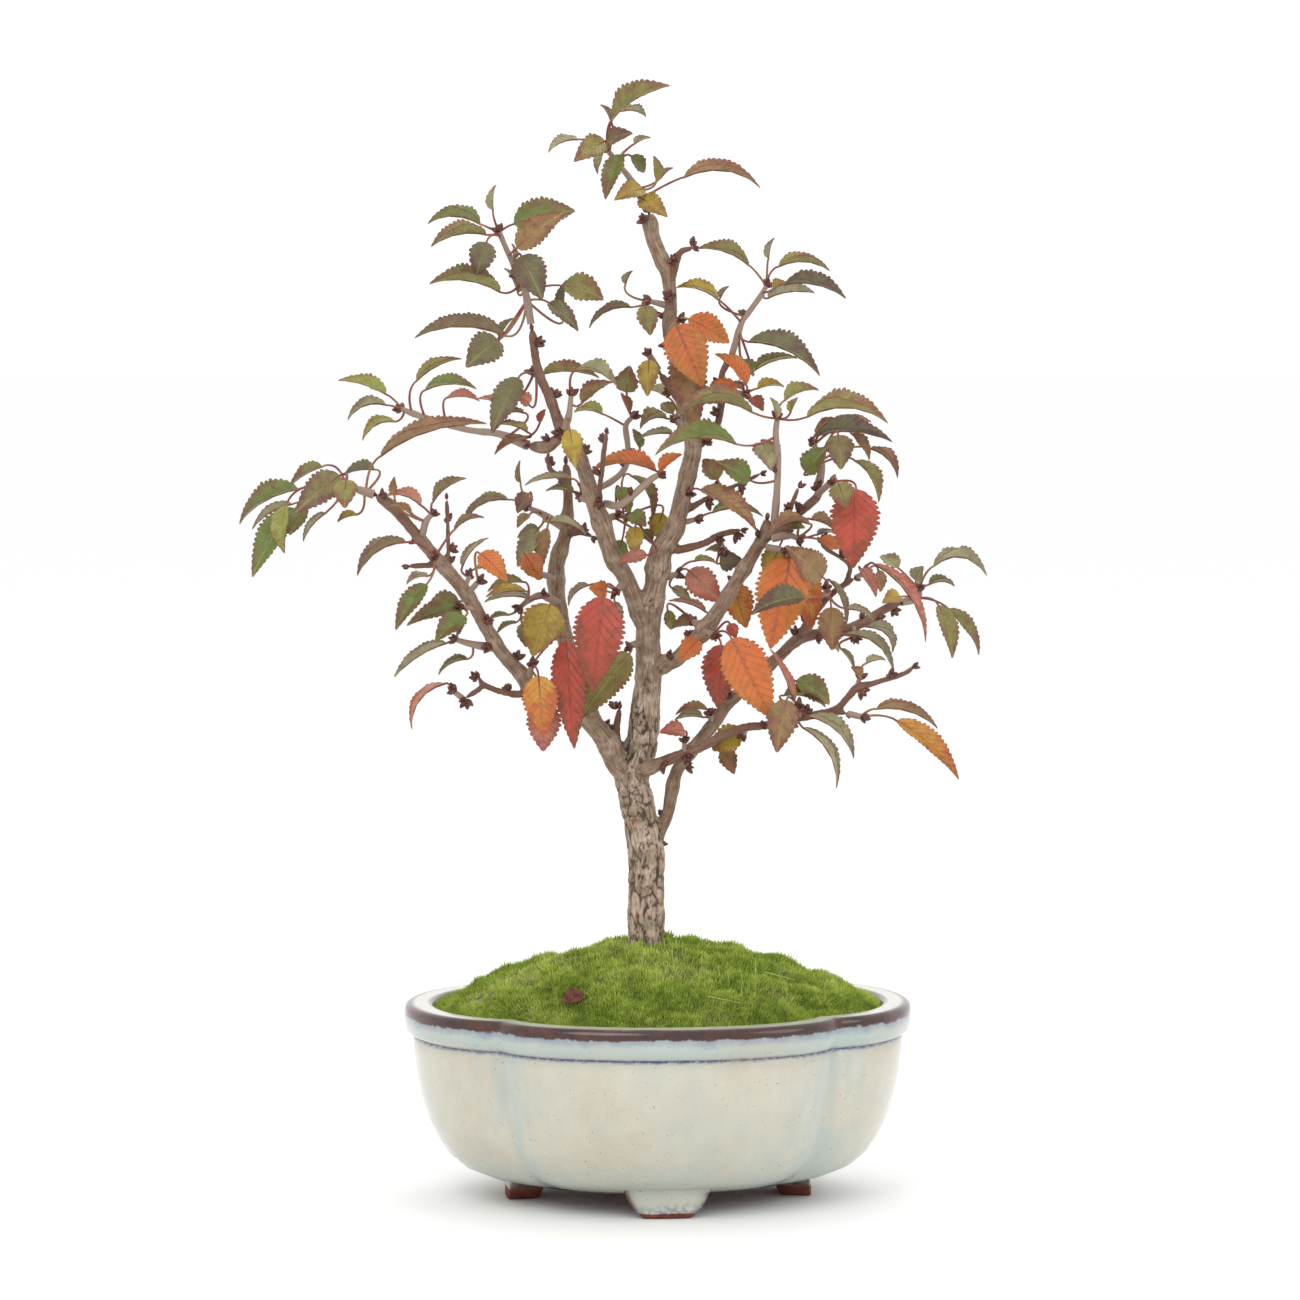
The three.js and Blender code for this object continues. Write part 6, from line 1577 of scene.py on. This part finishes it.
def model_blade(teeth):
    """A flat toothed blade, 2 wide and 1 long in millimetres, as a closed skin 1 deep."""
    rows = 3 * teeth
    blade = added(bpy.ops.mesh.primitive_grid_add, x_subdivisions=6, y_subdivisions=rows,
                  size=2 * MM)
    spots = points_of(blade)
    row = np.round((spots[:, 1] + 1) / 2 * rows).astype(int)
    column = np.round(spots[:, 0] * 3).astype(int)
    for i, (number, at) in enumerate(zip(row, column)):
        share = number / rows
        part = number % 3
        large = (number // 3) % 2 == 0
        out = 1.0
        along = share
        if abs(at) == 3 and 0 < number < rows:
            out = (LARGE_TOOTH if large else SMALL_TOOTH)[part]
            along = share + TOOTH_SHIFT[part] / rows
        spread = BLADE_COLUMNS[abs(at)] * np.sign(at)
        spots[i] = [spread * out * blade_reach(share), along, 0]
    set_points(blade, spots)
    edit_whole()
    bpy.ops.mesh.remove_doubles(threshold=0.004 * MM)
    bpy.ops.object.mode_set(mode="OBJECT")
    modify(blade, "SOLIDIFY", thickness=1 * MM, offset=-1)
    return blade


def blade_frame(leaf):
    """A blade's length, the ways its face and its width point, and its middle line."""
    base = place(*leaf[:3])
    tip = place(leaf[3], leaf[4], leaf[2], leaf[5] - leaf[2])
    along = unit(tip - base)
    to_eye = EYE - base
    to_eye = unit(to_eye - along * np.dot(to_eye, along))
    up = unit(np.cross(to_eye, along))
    if up[2] < 0:
        up = -up
    roll = math.radians(leaf[6])
    face = up * math.cos(roll) + to_eye * math.sin(roll)
    across = unit(np.cross(face, along))
    bow = leaf[7]

    def middle(share):
        share = np.asarray(share, dtype=float)[..., None]
        return base + (tip - base) * share + face * 4 * bow * share * (1 - share)

    return np.linalg.norm(tip - base), face, across, middle


def petiole(leaf, stem):
    """Rows of a leaf's stalk, from the twig into the blade and on under it as the midrib."""
    _, face, _, middle = blade_frame(leaf)
    leafy = [[a + (b - a) * 0.75 for a, b in zip(*stem[:2])], *stem[1:]]
    base = middle(0)
    start = nearest_on([place(*point[:3]) for point in leafy], base)
    slope = unit(middle(0.12) - base)
    reach = np.linalg.norm(base - start)
    bend = base - slope * 0.45 * reach
    rows = []
    steps = max(4, int(reach / 1.2))
    for t in np.arange(steps) / steps:
        spot = start * (1 - t) ** 2 + bend * 2 * t * (1 - t) + base * t ** 2
        rows.append([*spot, 0.46 - 0.12 * t])
    for share in (0, 0.15, 0.35, 0.6, 0.85):
        rows.append([*(middle(share) - face * 0.16), 0.32 * (1 - share) + 0.05])
    return np.array(rows)


def shape_blade(blade, leaf, thickness, chance):
    """The blade's points laid along a leaf: folded, bowed, a little wavy and drawn down at the tip."""
    length, face, across, middle = blade_frame(leaf)
    roll, _, width = leaf[6:9]
    hanging = min(1, abs(roll) / 90)
    fold = math.radians(SPREAD_FOLD + (HANGING_FOLD - SPREAD_FOLD) * hanging)
    x, share, deep = blade.T
    reach = x * width / 2 * (1.28 - 0.22 * hanging)
    side = np.abs(x)
    bend = fold * (1.18 - 0.22 * side)
    phase = chance.uniform(0, 6.28)
    wave = 0.035 * width * side ** 2 * np.sin(share * chance.uniform(9, 14) + phase * np.sign(x))
    ripple = 0.012 * width * side * np.sin(share * 38 + phase)
    curl = chance.uniform(-0.02, 0.05) * length * np.clip(share - 0.6, 0, 1) ** 2 * 4
    spots = middle(np.clip(share, 0, 1.02))
    spots = spots + across * (reach * np.cos(bend))[:, None]
    lift = np.abs(reach) * np.sin(bend) + wave + ripple - curl + deep * thickness
    return spots + face * lift[:, None]


class BONSAI_OT_leaves(bpy.types.Operator):
    """Models toothed blades of a few lengths and hangs a shaped copy for each leaf, by shoot"""
    bl_idname = "bonsai.leaves"
    bl_label = "Leaves"

    def execute(self, context):
        look = context.scene.bonsai
        bark = bpy.data.materials["bark"]
        stalk = stalk_material()
        finishes = {slot: leaf_material(slot.replace("_", " "), colour)
                    for slot, colour in (("leaf_green", (0.74, 0.70, 0.44)),
                                         ("leaf_orange", (0.46, 0.22, 0.12)),
                                         ("leaf_red", (0.42, 0.13, 0.12)))}
        blades = {}
        for number, (node, slot, letters, stem, leaves) in enumerate(SHOOTS):
            chance = random.Random(1000 + number)
            materials = [finishes[slot], stalk, bark]
            pieces = []
            for leaf, letter in zip(leaves, letters):
                length = blade_frame(leaf)[0]
                teeth = int(np.clip(round(length / (look.tooth_pitch / MM)), 5, 18))
                if teeth not in blades:
                    blades[teeth] = model_blade(teeth)
                pieces.append(self.hang(blades[teeth], leaf, letter, chance, look))
                pieces[-1].data.materials.append(materials[0])
            rows = knotted(smooth_route(stem, 1.0), 400 + number)
            routes = [(rows, 2), *((petiole(leaf, stem), 1) for leaf in leaves)]
            stems = grow_tubes("stem", routes, 8, materials)
            found, radii = read_bark(stems, [rows])
            store_bark(stems, found, radii, np.zeros(len(radii)))
            grown = join([*pieces, stems], node.replace("leaves_", "shoot_"))
            round_off(grown, 60)
            finish_piece(grown, slot, materials, node)
        clear_away(*blades.values())
        return {"FINISHED"}

    def hang(self, blade, leaf, letter, chance, look):
        """One leaf: its own copy of the blade, shaped and coloured."""
        flat = points_of(blade)
        made = bpy.data.objects.new("leaf", blade.data.copy())
        bpy.context.scene.collection.objects.link(made)
        set_points(made, shape_blade(flat, leaf, look.leaf_thickness / MM, chance))
        reach = np.array([max(0.02, blade_reach(share)) for share in flat[:, 1]])
        edge = np.clip(np.abs(flat[:, 0]) / reach, 0, 1)
        under = (flat[:, 2] < -0.5).astype(float)
        main, second, back = (np.array(srgb(*c)) for c in LEAF_COLOURS[letter])
        shade = chance.uniform(0.85, 1.15)
        face = np.where(under[:, None] > 0.5, back, main) * shade
        paint_points(made, "leaf_place", np.column_stack([flat[:, 0], flat[:, 1], edge]))
        paint_points(made, "leaf_main", np.column_stack([face, under]))
        paint_points(made, "leaf_second", np.tile([*(second * shade), 1], (len(flat), 1)))
        return made


# Stage

class BONSAI_OT_stage(bpy.types.Operator):
    """Sets the white floor, the soft light and the camera"""
    bl_idname = "bonsai.stage"
    bl_label = "Floor, light and camera"

    def execute(self, context):
        look = context.scene.bonsai
        floor = added(bpy.ops.mesh.primitive_plane_add, size=40)
        floor.name = "floor"
        paper = Finish("floor", {"Base Color": rgba((0.97, 0.97, 0.97)), "Roughness": 0.9})
        floor.data.materials.append(paper.material)
        world = bpy.data.worlds.new("studio")
        context.scene.world = world
        world.use_nodes = True
        background = world.node_tree.nodes["Background"]
        background.inputs["Color"].default_value = (1, 1, 1, 1)
        background.inputs["Strength"].default_value = 1.06
        for name, (spot, size, share) in LAMPS.items():
            lamp = added(bpy.ops.object.light_add, type="AREA", location=spot)
            lamp.name = name
            lamp.data.shape = "DISK"
            lamp.data.size = size
            lamp.data.energy = look.lamp_power * share
            aim = Vector((0, 0, 0.16)) - Vector(spot)
            lamp.rotation_euler = aim.to_track_quat("-Z", "Y").to_euler()
        eye = Vector(EYE * MM)
        target = Vector(place(*SIGHT_AIM) * MM)
        camera = added(bpy.ops.object.camera_add, location=eye)
        camera.rotation_euler = (target - eye).to_track_quat("-Z", "Y").to_euler()
        camera.data.sensor_width = 36
        camera.data.lens = LENS
        camera.data.clip_start = 0.1
        camera.data.clip_end = 30
        context.scene.camera = camera
        context.scene.view_settings.view_transform = "Standard"
        return {"FINISHED"}


OPERATORS = (BONSAI_OT_pot, BONSAI_OT_bed, BONSAI_OT_moss, BONSAI_OT_wood, BONSAI_OT_buds,
             BONSAI_OT_leaves, BONSAI_OT_stage)


class BONSAI_PT_panel(bpy.types.Panel):
    """Lists the bonsai's settings and its pieces"""
    bl_idname = "BONSAI_PT_panel"
    bl_label = "Bonsai"
    bl_space_type = "VIEW_3D"
    bl_region_type = "UI"
    bl_category = "Bonsai"

    def draw(self, context):
        column = self.layout.column()
        for name in BonsaiSettings.__annotations__:
            column.prop(context.scene.bonsai, name)
        for operator in OPERATORS:
            column.operator(operator.bl_idname)


CLASSES = (BonsaiSettings, *OPERATORS, BONSAI_PT_panel)


def register():
    for made in CLASSES:
        bpy.utils.register_class(made)
    bpy.types.Scene.bonsai = PointerProperty(type=BonsaiSettings)


def unregister():
    del bpy.types.Scene.bonsai
    for made in reversed(CLASSES):
        bpy.utils.unregister_class(made)


def main():
    """Builds everything in order."""
    register()
    for operator in OPERATORS:
        group, name = operator.bl_idname.split(".")
        getattr(getattr(bpy.ops, group), name)()
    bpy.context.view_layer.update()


if __name__ == "__main__":
    main()
